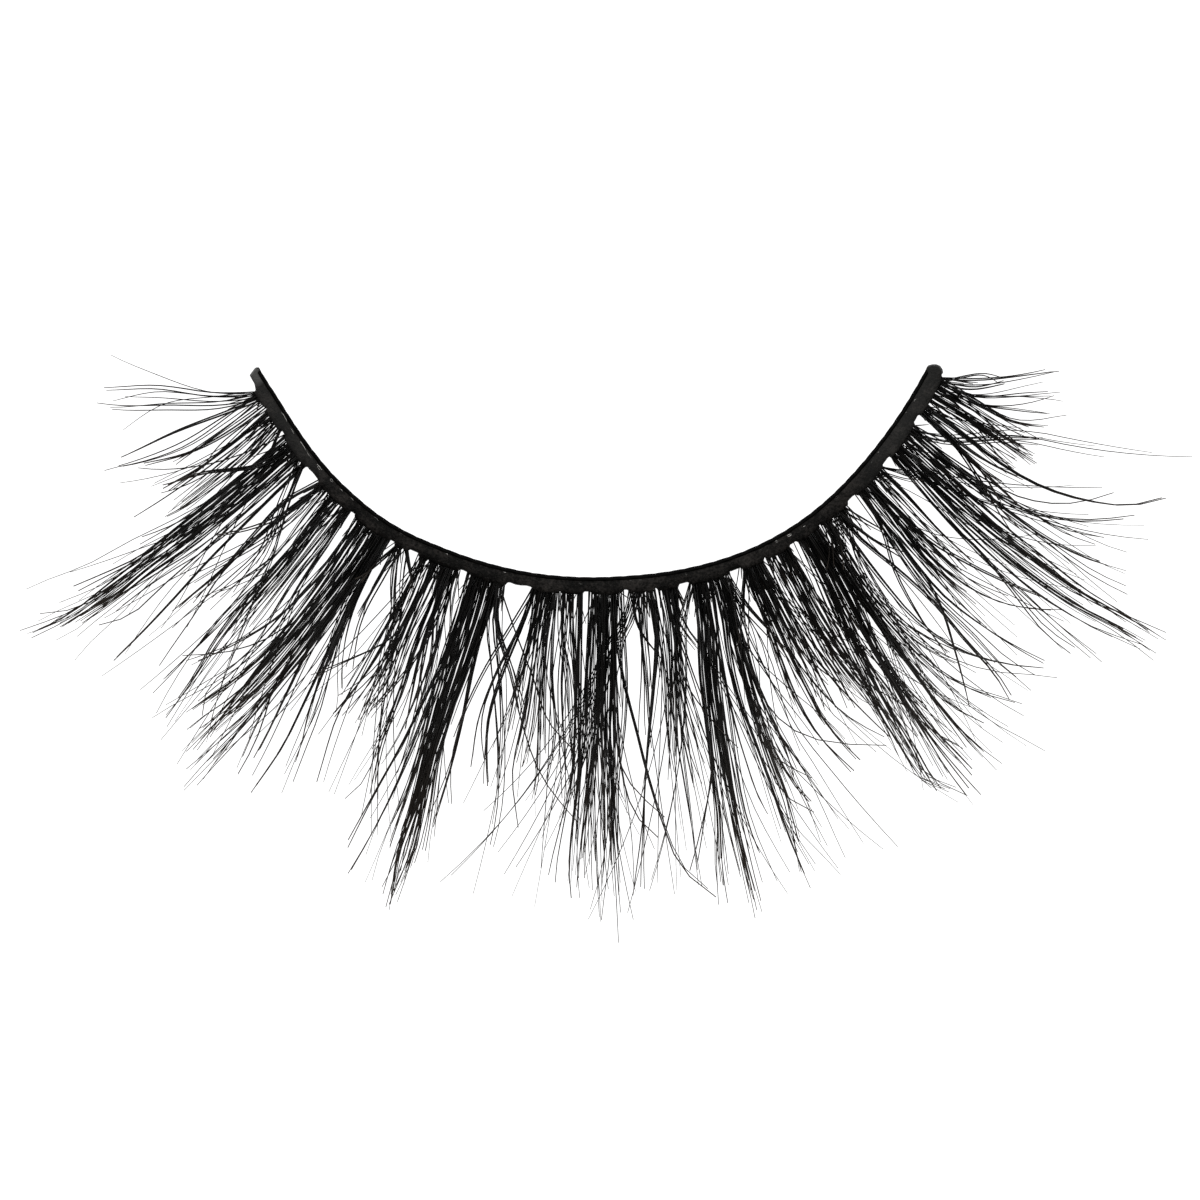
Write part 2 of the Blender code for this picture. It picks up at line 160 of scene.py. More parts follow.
# How the lashes of a tuft lie: they cross on the way out, gather in spikes, and splay at their
# tips. A tuft of few hairs has just those, a thick one a share of its weight.
ANGLE_STEP = 2.0
WIDTHS_AT = (0.0, 0.5, 1.0)
TIP_BENDS_ON = 0.5
FEW_HAIRS = 4
MANY_HAIRS = 7
GATHERED_SHARE = 0.24
USUAL_REACH = 9.0
LONG_TUFTS_FULLER = 2.0
SIDE_JITTER = 0.15
SIDE_MOST = 1.4
CROSSING = 0.4
CROSSING_HASTE = 1.6
GATHERED = 0.65
GATHERING_POWER = 1.6
SPIKE_WIDTH = 0.16
STRAYS = 0.6
STRAY = 0.16
STRAY_POWER = 1.2
WANDER = 0.04
WANDER_TURNS = 2.5
TIP_FLARE = 0.24
FLARE_FROM = 0.6
FEW_SHORTER = 0.06
END_SHORT = 0.9
END_LONG = 1.05

# Lashes that leave one tuft and lean over to another of their cluster: how many go with each hair
# of a tuft, how much of the way over they go, and how far past the tufts they may stray, in mm
LEANING_SHARE = 0.135
LEAN_MOST = 1.1
LEAN_STRAY = 0.25
LEAN_POWER = 1.3
LEAN_SHORT = 0.75
LEAN_LONG = 1.02
LEAN_FINENESS = 0.92
NEAR_TUFTS = 4

# Loose lashes of a cluster, which fill the space to the next: how far they lean at the tip, in mm,
# and how much shorter than the farthest they may be
LOOSE_LEAN = 1.25
LOOSE_MOST = 1.6
LOOSE_BOWS = (0.9, 2.6)
LOOSE_SHORT = 0.62
LOOSE_POWER = 0.6
LOOSE_FINENESS = 0.75

# The short ends at a cluster's root, which start on the band and fall off its edge
STUBS_PER_DEGREE = 5
STUB_SHORT = 0.5
STUB_LONG = 1.7
STUB_LEAN = 0.26
STUB_OVERLAP = 0.22
STUB_FALL = 0.2
STUB_HEIGHT = 0.40

# The knot of glue that a cluster grows from. A blunt outline is a half sine raised to a power, cut
# off before it comes to a point.
KNOT_STATIONS = 24
KNOT_SIDES = 12
KNOT_TUCK = 0.03
KNOT_DEPTH = 0.16
KNOT_THICK = 0.12
KNOT_LUMPS = 7
KNOT_UNEVEN = 0.25
Blunt = namedtuple("Blunt", "cut power")
KNOT_OUTLINE = Blunt(0.02, 0.35)
KNOT_SECTION = Blunt(0.04, 0.3)

# Colours, each with the two tones that it ranges between
FIBRE_TONES = ((0.0004, 0.0004, 0.0004), (0.0025, 0.0022, 0.002))
FIBRE_TIP = (0.02, 0.016, 0.013)
FIBRE_TIP_POWER = 4.0
BAND_TONES = ((0.0010, 0.0009, 0.0008), (0.013, 0.0115, 0.0105))
# The bare tab's paler colour is a painted highlight
TAB_PAINTED_HIGHLIGHT = (0.030, 0.030, 0.029)
GLUE_TONES = ((0.0006, 0.0005, 0.0005), (0.004, 0.0035, 0.0032))
# The thread's darker tone is painted shade in the grooves between its plies
THREAD_TONES = ((0.0012, 0.0011, 0.001), (0.0003, 0.0003, 0.0003))
# The stitches' pale tone is a painted highlight
STITCH_HIGHLIGHT_TONES = ((0.003, 0.003, 0.003), (0.40, 0.39, 0.37))
FLOOR_TONES = ((0.11, 0.11, 0.11), (0.13, 0.13, 0.13))
WHITE = (1.0, 1.0, 1.0, 1.0)

# The floor and the lights, in metres and watts. The floor glows a little, so that the gaps between
# the lashes stay white.
FLOOR_HALF = 2.0
FLOOR_HEIGHT = -0.00001
FLOOR_GLOW = 1.05
WORLD_LIGHT = 0.7
Lamp = namedtuple("Lamp", "name place size power")
LAMPS = (
    Lamp("key", (-0.16, 0.22, 0.30), 0.16, 2.2),
    Lamp("fill", (0.25, -0.05, 0.30), 0.20, 1.0),
)

# The view: straight down, from far enough off that the lashes' height doesn't spread them. The
# nearest and farthest that the camera sees are in metres.
VIEW_CENTRE = (0.255, -0.484)
VIEW_WIDTH = 48.6
CAMERA_HEIGHT = 2000.0
SENSOR_WIDTH = 36.0
CAMERA_NEAREST = 0.1
CAMERA_FARTHEST = 10.0

# One row is one tuft. Its angles stand at the root, at every 2 mm out, and at the tip. Its reach is
# in mm, and so are its widths: at the root, halfway out and at the tip. Its hairs are counted where
# they are few, and are its weight where it is thick.
Tuft = namedtuple("Tuft", "angles reach widths hairs lift", defaults=(FLAT,))
HAIR = (0.06, 0.06, 0.04)
PAIR = (0.10, 0.08, 0.05)
WISP = (0.12, 0.10, 0.06)

# A cluster goes from its left to its right angle. Its fill says how full its thick tufts are. Its
# loose lashes are a number of hairs, which go as far out as its far and are swept to the right by
# its sweep at the tip, both in mm.
Cluster = namedtuple("Cluster", "left right fill loose far sweep tufts")

CLUSTERS = (
    Cluster(-61.7, -59.2, 1.0, 3, 6.5, 0.0, (
        Tuft((-61.3, -63.9, -67.8, -69.9), 6.0, (0.2, 0.25, 0.15), 5),
        Tuft((-60.8, -62.6, -65.5, -67.6, -68.3), 6.6, (0.2, 0.16, 0.06), 4),
        Tuft((-60.4, -61.2, -62.05, -62.3, -62.4), 6.7, (0.1, 0.1, 0.06), 2),
        Tuft((-61.0, -60.3, -59.9, -60.9, -61.8), 7.1, (0.22, 0.12, 0.06), 4),
        Tuft((-60.1, -59.4, -58.95, -58.9), 4.8, (0.28, 0.2, 0.08), 6),
        Tuft((-59.2, -58.7, -59.0, -60.7), 6.0, (0.12, 0.1, 0.05), 2),
    )),
    Cluster(-58.6, -55.2, 0.85, 5, 7.5, 0.0, (
        Tuft((-58.3, -57.3, -56.5, -56.5), 5.8, (0.36, 0.22, 0.08), 6),
        Tuft((-58.0, -57.3, -56.9, -57.3), 5.8, WISP, 2),
        Tuft((-58.6, -58.4, -57.3), 4.2, HAIR, 1),
        Tuft((-57.3, -56.35, -55.6, -55.2), 6.0, (0.3, 0.18, 0.08), 6),
        Tuft((-56.5, -55.2, -54.75, -54.6), 6.0, (0.3, 0.2, 0.08), 7),
        Tuft((-55.6, -54.5, -54.0, -54.15, -54.4), 6.5, (0.4, 0.26, 0.1), 9),
        Tuft((-55.2, -52.6), 1.6, (0.12, 0.14, 0.14), 3),
        Tuft((-57.0, -56.6, -56.3, -56.2, -56.3), 7.4, (0.08, 0.06, 0.04), 1),
        Tuft((-54.0, -55.0, -57.0, -60.1, -60.9), 6.4, (0.04, 0.04, 0.04), 1, OVER),
    )),
    Cluster(-53.4, -48.4, 0.85, 17, 13.3, 0.2, (
        Tuft((-51.6, -52.6, -56.0, -57.3), 5.75, (0.16, 0.16, 0.12), 3, OVER),
        Tuft((-53.0, -52.5, -52.4, -52.4, -52.2, -52.2, -52.25, -52.8), 13.2, (0.45, 0.3, 0.05), 16),
        Tuft((-52.8, -52.5, -52.5, -52.5, -52.5, -53.1, -53.4), 11.3, WISP, 2),
        Tuft((-52.6, -52.4, -52.4, -52.3, -52.1, -52.0, -53.5, -54.7), 12.8, (0.06, 0.06, 0.05), 1),
        Tuft((-53.3, -53.1, -52.95, -53.05, -53.6), 7.9, (0.16, 0.12, 0.1), 3),
        Tuft((-51.3, -51.0, -50.9, -51.0, -51.3, -51.3, -51.85, -51.9), 12.4, (0.7, 0.36, 0.07), 22),
        Tuft((-49.6, -49.5, -49.6, -49.8, -50.4, -50.8, -51.0), 11.1, (0.5, 0.3, 0.06), 16),
        Tuft((-49.0, -49.0, -48.95, -48.9, -48.9, -48.9, -50.4), 11.5, HAIR, 1),
        Tuft((-48.6, -48.45, -48.1, -47.8, -47.3, -46.95, -46.8), 12.0, (0.12, 0.1, 0.05), 3),
        Tuft((-49.5, -47.0, -43.8, -42.4), 6.3, (0.3, 0.5, 0.45), 8, TOP),
    )),
    Cluster(-45.2, -39.1, 1.2, 18, 13.3, 0.3, (
        Tuft((-44.6, -45.0, -47.2, -49.3), 5.3, (0.1, 0.1, 0.1), 2, OVER),
        Tuft((-45.2, -46.6, -46.4, -45.8, -45.4), 7.8, (0.16, 0.12, 0.06), 3),
        Tuft((-44.7, -44.3, -45.1, -46.5, -47.4), 7.5, (0.2, 0.14, 0.08), 5),
        Tuft((-44.4, -45.3, -45.85, -46.0, -46.35, -46.45), 8.6, (0.16, 0.12, 0.06), 3),
        Tuft((-44.7, -45.4, -45.7, -45.65, -44.55, -43.7, -43.4), 10.7, HAIR, 1),
        Tuft((-43.5, -43.1, -42.4, -43.6, -44.4), 7.1, (0.26, 0.18, 0.08), 6),
        Tuft((-42.3, -42.0, -41.25, -41.4, -41.2), 7.9, (0.5, 0.3, 0.1), 12),
        Tuft((-40.8, -40.6, -40.4, -40.6, -41.0), 7.8, (0.55, 0.34, 0.1), 13),
        Tuft((-40.1, -39.9, -39.75, -39.6, -39.5), 6.9, (0.2, 0.14, 0.08), 4),
        Tuft((-39.6, -39.1, -39.0, -38.3), 6.3, (0.26, 0.16, 0.08), 5),
        Tuft((-39.2, -38.7, -38.2, -37.65, -37.8), 6.8, (0.14, 0.12, 0.08), 3),
        Tuft((-42.6, -42.6, -42.7, -42.6, -42.3, -42.2, -42.3), 12.1, PAIR, 1),
        Tuft((-41.8, -41.8, -41.8, -41.8, -41.4, -40.5, -40.2), 11.5, PAIR, 2, OVER),
        Tuft((-41.5, -41.5, -41.4, -41.35, -41.0, -40.2, -39.5), 12.0, PAIR, 1, OVER),
    )),
    Cluster(-37.9, -31.9, 0.82, 17, 13.0, 0.3, (
        Tuft((-36.9, -36.4, -36.1, -36.15, -36.9, -38.2, -39.3), 11.7, (0.7, 0.32, 0.05), 16),
        Tuft((-35.4, -35.1, -35.1, -35.45, -35.85, -36.3, -36.9), 12.1, (0.9, 0.4, 0.07), 24),
        Tuft((-33.6, -33.3, -33.8, -34.2, -34.8, -35.75, -36.4), 10.9, (0.8, 0.38, 0.07), 21),
        Tuft((-32.7, -32.6, -32.95, -33.4, -33.9, -34.3, -35.0, -35.3), 13.1, (0.5, 0.24, 0.05), 11),
        Tuft((-32.8, -32.8, -33.1, -33.5, -34.0, -34.3, -34.4, -34.7), 13.1, (0.2, 0.12, 0.05), 4),
        Tuft((-36.6, -36.5, -36.95, -37.9, -39.9, -42.15), 9.7, PAIR, 2, TOP),
        Tuft((-36.2, -36.2, -36.3, -36.5, -39.2, -43.1), 9.7, HAIR, 1, TOP),
        Tuft((-37.0, -37.0, -37.2, -37.6, -38.0, -38.7, -37.2), 11.2, HAIR, 1),
        Tuft((-32.4, -32.2, -31.7, -30.95, -30.45, -30.1, -30.4, -30.5), 12.6, (0.12, 0.1, 0.05), 3, OVER),
        Tuft((-32.3, -32.2, -31.6, -30.4, -29.2, -28.7, -28.3), 11.8, (0.3, 0.5, 0.5), 9, OVER),
        Tuft((-32.2, -31.9, -31.2, -30.6, -29.8, -28.5, -28.2), 10.8, (0.12, 0.1, 0.05), 3, OVER),
        Tuft((-32.3, -32.1, -31.2, -29.1, -27.0), 7.4, (0.2, 0.22, 0.14), 4, OVER),
        Tuft((-33.2, -33.1, -33.1, -33.1, -32.5, -32.0, -31.8), 11.3, (0.2, 0.12, 0.06), 3),
        Tuft((-33.6, -33.7, -33.8, -33.9, -34.0, -32.7, -32.2, -32.2), 12.4, WISP, 2),
        Tuft((-33.4, -33.4, -33.4, -33.5, -33.7, -33.3, -32.9), 11.5, HAIR, 1),
    )),
    Cluster(-30.7, -28.7, 1.0, 8, 12.0, 0.0, (
        Tuft((-30.2, -31.75, -31.9), 2.8, (0.16, 0.14, 0.1), 3, TOP),
        Tuft((-29.9, -28.1, -26.2), 3.2, (0.24, 0.3, 0.3), 5, OVER),
        Tuft((-29.2, -25.0), 2.1, (0.16, 0.2, 0.2), 3, OVER),
        Tuft((-30.4, -30.3, -30.35), 4.1, (0.16, 0.12, 0.08), 3),
        Tuft((-29.9, -29.9, -29.7, -27.5), 6.3, (0.12, 0.12, 0.08), 2, TOP),
    )),
    Cluster(-26.8, -20.7, 0.75, 15, 11.0, -0.2, (
        Tuft((-26.5, -26.3, -26.75, -27.2, -27.4), 7.1, (0.26, 0.22, 0.08), 6),
        Tuft((-25.8, -26.1, -25.8, -26.3, -27.5), 8.1, (0.16, 0.14, 0.08), 3),
        Tuft((-26.3, -26.4, -26.6, -26.8, -26.8, -25.8, -25.3), 10.9, HAIR, 1),
        Tuft((-25.2, -24.75, -24.8, -25.1, -25.8), 7.8, (0.5, 0.28, 0.08), 11),
        Tuft((-24.5, -24.3, -24.3, -24.25, -24.3), 7.6, (0.3, 0.16, 0.08), 5),
        Tuft((-23.8, -23.7, -23.65, -23.4, -24.3), 7.5, (0.5, 0.26, 0.08), 11),
        Tuft((-22.7, -22.6, -22.5, -21.9, -21.7, -21.75), 8.5, (0.55, 0.3, 0.08), 13),
        Tuft((-22.6, -22.5, -22.4, -21.9, -21.7, -20.9), 10.4, PAIR, 2),
        Tuft((-22.5, -22.4, -22.3, -22.1, -22.0, -22.05, -23.7), 11.5, HAIR, 1),
        Tuft((-20.8, -19.7, -18.3), 3.3, (0.24, 0.22, 0.14), 5, OVER),
        Tuft((-22.0, -21.8, -20.0, -19.1), 6.1, (0.24, 0.24, 0.12), 5, OVER),
        Tuft((-22.0, -21.9, -21.2, -19.9, -19.4), 6.8, (0.16, 0.14, 0.08), 3, OVER),
        Tuft((-21.8, -21.7, -21.5, -20.6, -19.9), 7.6, (0.14, 0.12, 0.08), 3, OVER),
        Tuft((-21.0, -20.3, -19.6, -19.35, -19.1, -19.3), 9.3, (0.26, 0.14, 0.06), 5),
        Tuft((-20.9, -20.9, -21.4, -23.0, -24.2), 7.2, WISP, 2),
        Tuft((-24.0, -24.2, -25.1, -29.0, -31.4), 7.4, (0.08, 0.08, 0.06), 2, TOP),
        Tuft((-24.2, -24.3, -24.5, -25.5, -26.9), 7.6, WISP, 2),
    )),
    Cluster(-18.6, -13.3, 0.95, 16, 13.8, -0.2, (
        Tuft((-18.2, -18.2, -18.3, -18.1, -17.7, -17.65, -17.65), 11.7, (0.6, 0.28, 0.05), 15),
        Tuft((-16.8, -16.7, -16.7, -16.9, -16.8, -16.7, -16.8, -16.3), 13.9, (1.0, 0.46, 0.05), 30),
        Tuft((-15.4, -15.45, -15.9, -16.2, -16.4, -16.0, -15.75, -16.2), 13.9, (0.8, 0.36, 0.05), 22),
        Tuft((-14.7, -14.8, -15.15, -15.7, -15.96), 7.1, (0.26, 0.16, 0.08), 5),
        Tuft((-15.0, -15.2, -15.5, -15.8, -15.85, -15.3, -15.0, -15.0), 12.5, (0.16, 0.12, 0.05), 3),
        Tuft((-14.6, -14.9, -14.85, -14.5, -14.4, -14.6, -14.7), 10.8, (0.16, 0.12, 0.05), 3),
        Tuft((-14.6, -14.7, -14.7, -14.6, -14.5, -13.1), 10.2, HAIR, 1),
        Tuft((-18.3, -18.3, -18.5, -19.1, -19.75, -20.45, -20.9, -21.05), 12.9, (0.12, 0.1, 0.05), 2),
        Tuft((-18.1, -18.1, -18.2, -18.3, -18.6, -19.0, -19.6, -20.3), 13.9, (0.12, 0.1, 0.05), 2),
        Tuft((-14.3, -13.5, -11.5, -10.15, -9.4), 8.1, (0.26, 0.28, 0.16), 5, OVER),
        Tuft((-14.4, -14.6, -12.7, -11.0, -9.8, -9.3, -9.4), 11.2, (0.18, 0.14, 0.05), 4, OVER),
        Tuft((-14.3, -13.3, -9.9, -8.0), 5.7, (0.14, 0.14, 0.12), 3, OVER),
        Tuft((-14.2, -13.6, -10.3, -7.9, -5.3, -1.35), 9.9, HAIR, 1, TOP),
        Tuft((-14.5, -11.3, -7.6, -4.6, -1.1), 7.2, HAIR, 1, TOP),
    )),
    Cluster(-9.1, -5.3, 0.68, 9, 10.0, 0.2, (
        Tuft((-8.9, -11.0, -13.2, -14.45, -14.8), 7.1, (0.12, 0.12, 0.06), 2, TOP),
        Tuft((-8.8, -9.9, -11.75, -12.65, -12.1), 8.1, (0.12, 0.12, 0.06), 3, TOP),
        Tuft((-8.8, -9.8, -11.15, -11.75, -11.2, -10.8), 9.0, (0.14, 0.12, 0.06), 3, TOP),
        Tuft((-8.5, -8.5, -9.15, -9.4, -9.5), 6.5, (0.36, 0.22, 0.1), 7),
        Tuft((-8.2, -8.3, -8.2, -8.3), 4.6, (0.2, 0.14, 0.08), 4),
        Tuft((-7.6, -7.8, -7.7, -7.9, -8.4), 7.6, (0.4, 0.22, 0.06), 10),
        Tuft((-6.7, -6.85, -6.9, -6.75, -7.3), 7.8, (0.36, 0.2, 0.06), 8),
        Tuft((-6.3, -6.6, -6.4, -6.1, -5.7, -6.0), 9.2, (0.2, 0.14, 0.06), 4),
        Tuft((-5.8, -5.9, -5.85, -5.4, -5.0), 7.5, (0.26, 0.18, 0.06), 6),
        Tuft((-5.6, -5.5, -5.1, -4.2, -4.05, -4.0), 8.5, (0.08, 0.06, 0.04), 2),
        Tuft((-7.5, -7.7, -7.8, -8.0, -8.2, -7.0, -6.7), 10.5, HAIR, 1),
    )),
    Cluster(-4.8, -1.7, 1.15, 9, 13.3, 0.0, (
        Tuft((-4.6, -4.4, -3.25, -2.65, -2.05), 7.8, (0.36, 0.22, 0.06), 10),
        Tuft((-3.0, -2.8, -2.25, -1.85, -1.6), 7.1, (0.36, 0.2, 0.06), 9),
        Tuft((-3.9, -3.9, -4.0, -3.5, -3.0, -2.9), 8.5, (0.2, 0.14, 0.06), 4),
        Tuft((-2.1, -2.0, -2.1, -2.1, -2.2, -3.05, -3.8, -3.9), 12.7, PAIR, 2, OVER),
        Tuft((-1.9, -1.8, -1.7, -1.6, -1.55, -2.0, -2.1, -1.8), 13.0, PAIR, 2, OVER),
    )),
    Cluster(-0.2, 4.2, 0.82, 13, 13.3, 0.3, (
        Tuft((1.0, 0.95, 0.45, 0.3, -0.35, -0.85, -1.07, -1.0), 12.4, (0.8, 0.36, 0.06), 22),
        Tuft((0.0, -0.4, -0.7, -1.05, -1.5), 8.0, (0.4, 0.22, 0.06), 9),
        Tuft((2.1, 2.05, 1.75, 1.65, 1.5, 1.4, 1.55), 11.1, (0.4, 0.2, 0.05), 10),
        Tuft((2.8, 2.6, 2.2, 1.8, 1.95, 1.9, 2.1, 2.25), 14.0, (0.36, 0.18, 0.05), 9),
        Tuft((3.7, 3.2, 2.9, 2.9), 5.2, (0.26, 0.16, 0.06), 5),
        Tuft((4.1, 3.95, 3.9, 3.3, 2.3, 1.8, 1.76), 10.8, (0.2, 0.12, 0.05), 5),
        Tuft((0.7, 0.6, 0.3, 0.1, -0.1, 0.0, 0.2, 0.4), 13.3, (0.3, 0.18, 0.05), 8, OVER),
        Tuft((1.3, 1.2, 1.0, 0.8, 1.05, 1.1, 0.8, 0.45), 13.2, (0.3, 0.18, 0.05), 8, OVER),
        Tuft((3.1, 3.0, 3.6, 4.65, 5.5, 6.5, 7.9, 10.9), 13.6, (0.08, 0.06, 0.04), 2, TOP),
        Tuft((2.6, 2.6, 2.5, 2.4, 3.3, 7.2), 10.0, HAIR, 1, OVER),
        Tuft((3.0, 2.9, 2.8, 2.8, 3.0, 4.8, 6.1), 10.6, HAIR, 1, OVER),
    )),
    Cluster(5.4, 8.9, 1.25, 18, 13.0, 0.8, (
        Tuft((7.0, 4.6, 3.3), 2.5, (0.2, 0.3, 0.3), 5, TOP),
        Tuft((7.1, 6.5, 6.1, 5.55, 5.5), 6.6, (0.4, 0.22, 0.06), 9),
        Tuft((8.0, 7.5, 7.2, 7.05), 4.9, (0.3, 0.2, 0.06), 6),
        Tuft((8.2, 8.5, 7.4, 6.15, 5.2, 4.65, 4.2, 4.1), 13.0, (0.12, 0.1, 0.05), 3, OVER),
        Tuft((8.9, 9.2, 9.0, 8.35, 7.8), 7.9, (0.36, 0.22, 0.12), 11),
        Tuft((8.4, 8.5, 8.4, 8.3), 4.5, (0.2, 0.14, 0.08), 4),
        Tuft((5.6, 6.1, 8.6), 3.4, (0.08, 0.08, 0.06), 2),
    )),
    Cluster(9.7, 12.6, 1.3, 16, 13.8, 0.8, (
        Tuft((10.4, 10.4, 9.5, 8.75, 8.3), 7.1, (0.45, 0.26, 0.08), 12),
        Tuft((11.2, 11.05, 10.15, 9.75, 9.9), 8.5, (0.4, 0.22, 0.06), 10),
        Tuft((12.2, 11.6, 10.5, 10.7, 10.9), 8.0, (0.26, 0.16, 0.06), 6),
        Tuft((12.4, 11.5, 10.9), 3.4, (0.14, 0.12, 0.08), 3),
        Tuft((11.6, 11.9, 13.5), 3.4, (0.18, 0.2, 0.16), 4, OVER),
        Tuft((11.0, 11.2, 11.9, 12.4), 6.0, (0.1, 0.1, 0.08), 2, OVER),
        Tuft((10.8, 10.7, 10.7, 12.7, 15.0), 8.0, HAIR, 1, OVER),
    )),
    Cluster(14.5, 20.3, 0.9, 24, 13.8, 1.3, (
        Tuft((15.0, 12.0), 1.95, (0.26, 0.3, 0.3), 5, TOP),
        Tuft((15.6, 14.8, 13.3, 12.6, 12.1, 11.7, 11.0, 10.9), 13.0, (0.4, 0.22, 0.05), 10),
        Tuft((16.4, 16.0, 14.65, 13.85, 13.45, 13.15, 13.05, 13.1), 14.0, (0.8, 0.36, 0.04), 24),
        Tuft((15.8, 15.3, 13.9, 13.1, 12.6, 12.3, 12.4, 12.5), 13.2, (0.2, 0.12, 0.05), 4),
        Tuft((16.9, 16.4, 15.6, 15.0, 14.4, 14.1, 14.5, 14.8), 12.7, (0.26, 0.16, 0.05), 6),
        Tuft((17.2, 16.5, 15.8, 15.4, 15.4, 15.75, 16.1), 10.6, (0.14, 0.1, 0.05), 2),
        Tuft((18.4, 18.05, 17.0, 16.75, 17.1, 17.2, 17.4, 17.7), 13.5, (0.4, 0.22, 0.05), 11),
        Tuft((19.0, 18.85, 18.15, 17.8, 18.0, 18.2, 17.95, 17.85), 12.7, (0.45, 0.24, 0.05), 12),
        Tuft((19.9, 19.4, 18.9, 18.55, 18.3, 18.5), 9.0, (0.36, 0.2, 0.06), 8),
        Tuft((19.7, 19.2, 18.9, 19.05, 19.8, 20.04), 9.4, (0.14, 0.12, 0.06), 3),
        Tuft((19.3, 19.0, 18.6, 18.4, 18.5, 19.6, 20.8), 11.1, PAIR, 2),
        Tuft((18.6, 18.4, 18.0, 17.7, 17.5, 18.3, 20.5), 11.1, HAIR, 1),
        Tuft((19.0, 18.7, 18.3, 18.0, 17.9, 21.6), 9.9, HAIR, 1),
        Tuft((19.9, 19.6, 19.3, 19.2, 22.0, 29.6), 10.0, HAIR, 1, TOP),
        Tuft((19.7, 20.8, 23.0, 23.6), 4.8, (0.34, 0.4, 0.3), 9, OVER),
        Tuft((15.2, 14.6, 13.5, 12.75, 12.05, 10.3, 8.3), 12.3, PAIR, 2, OVER),
    )),
    Cluster(22.6, 25.8, 0.6, 12, 10.0, 2.0, (
        Tuft((22.9, 20.7, 19.0), 3.9, (0.28, 0.4, 0.3), 7, TOP),
        Tuft((23.2, 23.2, 22.7, 22.25, 22.2), 7.3, (0.3, 0.18, 0.06), 7),
        Tuft((23.6, 23.6, 23.8, 23.95, 24.4, 24.8), 8.5, (0.45, 0.26, 0.06), 12),
        Tuft((24.5, 24.6, 24.55, 24.2), 5.2, (0.36, 0.22, 0.06), 8),
        Tuft((25.0, 25.3, 25.95, 26.95, 27.0), 7.8, (0.26, 0.22, 0.08), 8, OVER),
        Tuft((24.6, 24.7, 24.85, 25.9, 26.5), 6.7, (0.14, 0.12, 0.06), 3),
        Tuft((25.4, 25.8, 25.9, 25.8, 25.9), 7.5, (0.16, 0.12, 0.06), 3),
        Tuft((22.8, 22.8, 22.6, 22.5, 23.1, 24.6, 24.8), 10.3, (0.1, 0.08, 0.04), 2),
        Tuft((24.0, 24.0, 24.0, 24.0, 24.5, 25.8), 10.0, (0.1, 0.08, 0.04), 2),
        Tuft((25.2, 25.5, 26.1, 26.8, 28.2, 29.7), 10.0, HAIR, 1, OVER),
        Tuft((23.9, 23.8, 23.85, 24.8, 26.5, 28.7), 9.6, HAIR, 1, OVER),
    )),
    Cluster(26.7, 30.1, 1.0, 12, 11.5, 1.6, (
        Tuft((28.5, 28.4, 28.4, 28.9, 30.1, 30.8), 10.0, (0.5, 0.4, 0.2), 16),
        Tuft((29.4, 29.3, 29.15, 29.5, 29.65, 29.75), 9.8, (0.24, 0.2, 0.1), 9),
        Tuft((29.9, 29.9, 29.9, 29.85), 5.0, WISP, 3),
        Tuft((27.0, 26.8, 26.8, 27.0, 27.2), 6.4, (0.36, 0.3, 0.2), 12),
        Tuft((27.8, 27.8, 27.85, 27.9, 28.4), 7.1, (0.3, 0.18, 0.06), 7),
    )),
    Cluster(31.7, 35.3, 0.62, 15, 13.6, 1.8, (
        Tuft((32.4, 31.8, 30.9, 30.5, 30.2, 30.3, 31.0, 32.0), 12.5, (0.6, 0.6, 0.15), 24),
        Tuft((33.0, 32.7, 32.05, 31.15, 31.35, 31.3), 9.0, (0.36, 0.2, 0.05), 9),
        Tuft((32.6, 32.3, 31.6, 30.9, 30.7, 30.9, 30.8, 30.9), 12.4, (0.16, 0.12, 0.05), 3),
        Tuft((33.4, 33.2, 32.35, 32.25), 5.4, (0.16, 0.12, 0.06), 3),
        Tuft((33.8, 33.7, 33.05, 32.5, 32.35, 32.25, 32.1, 32.15), 12.6, (0.4, 0.18, 0.05), 10),
        Tuft((34.3, 34.2, 33.65, 33.2, 33.15, 33.95), 9.4, (0.26, 0.14, 0.05), 3),
        Tuft((33.9, 33.7, 33.1, 32.6, 32.4, 32.5, 32.95, 33.4), 13.5, (0.2, 0.14, 0.05), 3, OVER),
        Tuft((34.0, 33.9, 33.3, 32.9, 32.8, 33.15, 34.0, 34.2), 12.7, (0.14, 0.1, 0.05), 3, OVER),
        Tuft((33.6, 33.5, 33.0, 32.6, 32.4, 32.9, 34.9), 11.8, PAIR, 2, OVER),
        Tuft((34.8, 34.7, 34.75, 34.7, 34.7, 34.95, 35.7, 36.2), 12.8, (0.36, 0.22, 0.05), 11),
        Tuft((34.6, 34.6, 34.6, 34.6, 34.7, 34.9, 35.3), 12.0, (0.16, 0.12, 0.05), 3),
        Tuft((35.0, 34.9, 34.8, 34.7, 35.0, 36.4, 37.9), 11.1, PAIR, 2, OVER),
    )),
    Cluster(36.0, 40.8, 0.85, 22, 12.0, 2.2, (
        Tuft((37.0, 34.7, 34.0), 2.4, (0.2, 0.26, 0.26), 4, TOP),
        Tuft((38.5, 36.1, 35.3), 2.8, (0.12, 0.14, 0.12), 2, TOP),
        Tuft((36.4, 35.7, 35.35, 35.35), 5.2, (0.3, 0.2, 0.08), 7),
        Tuft((36.9, 36.6, 36.1, 37.1, 39.5), 8.3, (0.2, 0.16, 0.12), 4, OVER),
        Tuft((36.5, 36.0, 35.5, 35.9, 36.6, 38.6, 40.3), 11.1, (0.2, 0.24, 0.3), 4, OVER),
        Tuft((36.7, 36.3, 36.0, 36.4, 38.2, 39.5), 8.9, (0.16, 0.2, 0.26), 4, OVER),
        Tuft((38.3, 38.0, 37.9, 38.2, 39.6, 42.6, 44.75), 11.1, (0.14, 0.12, 0.08), 3, TOP),
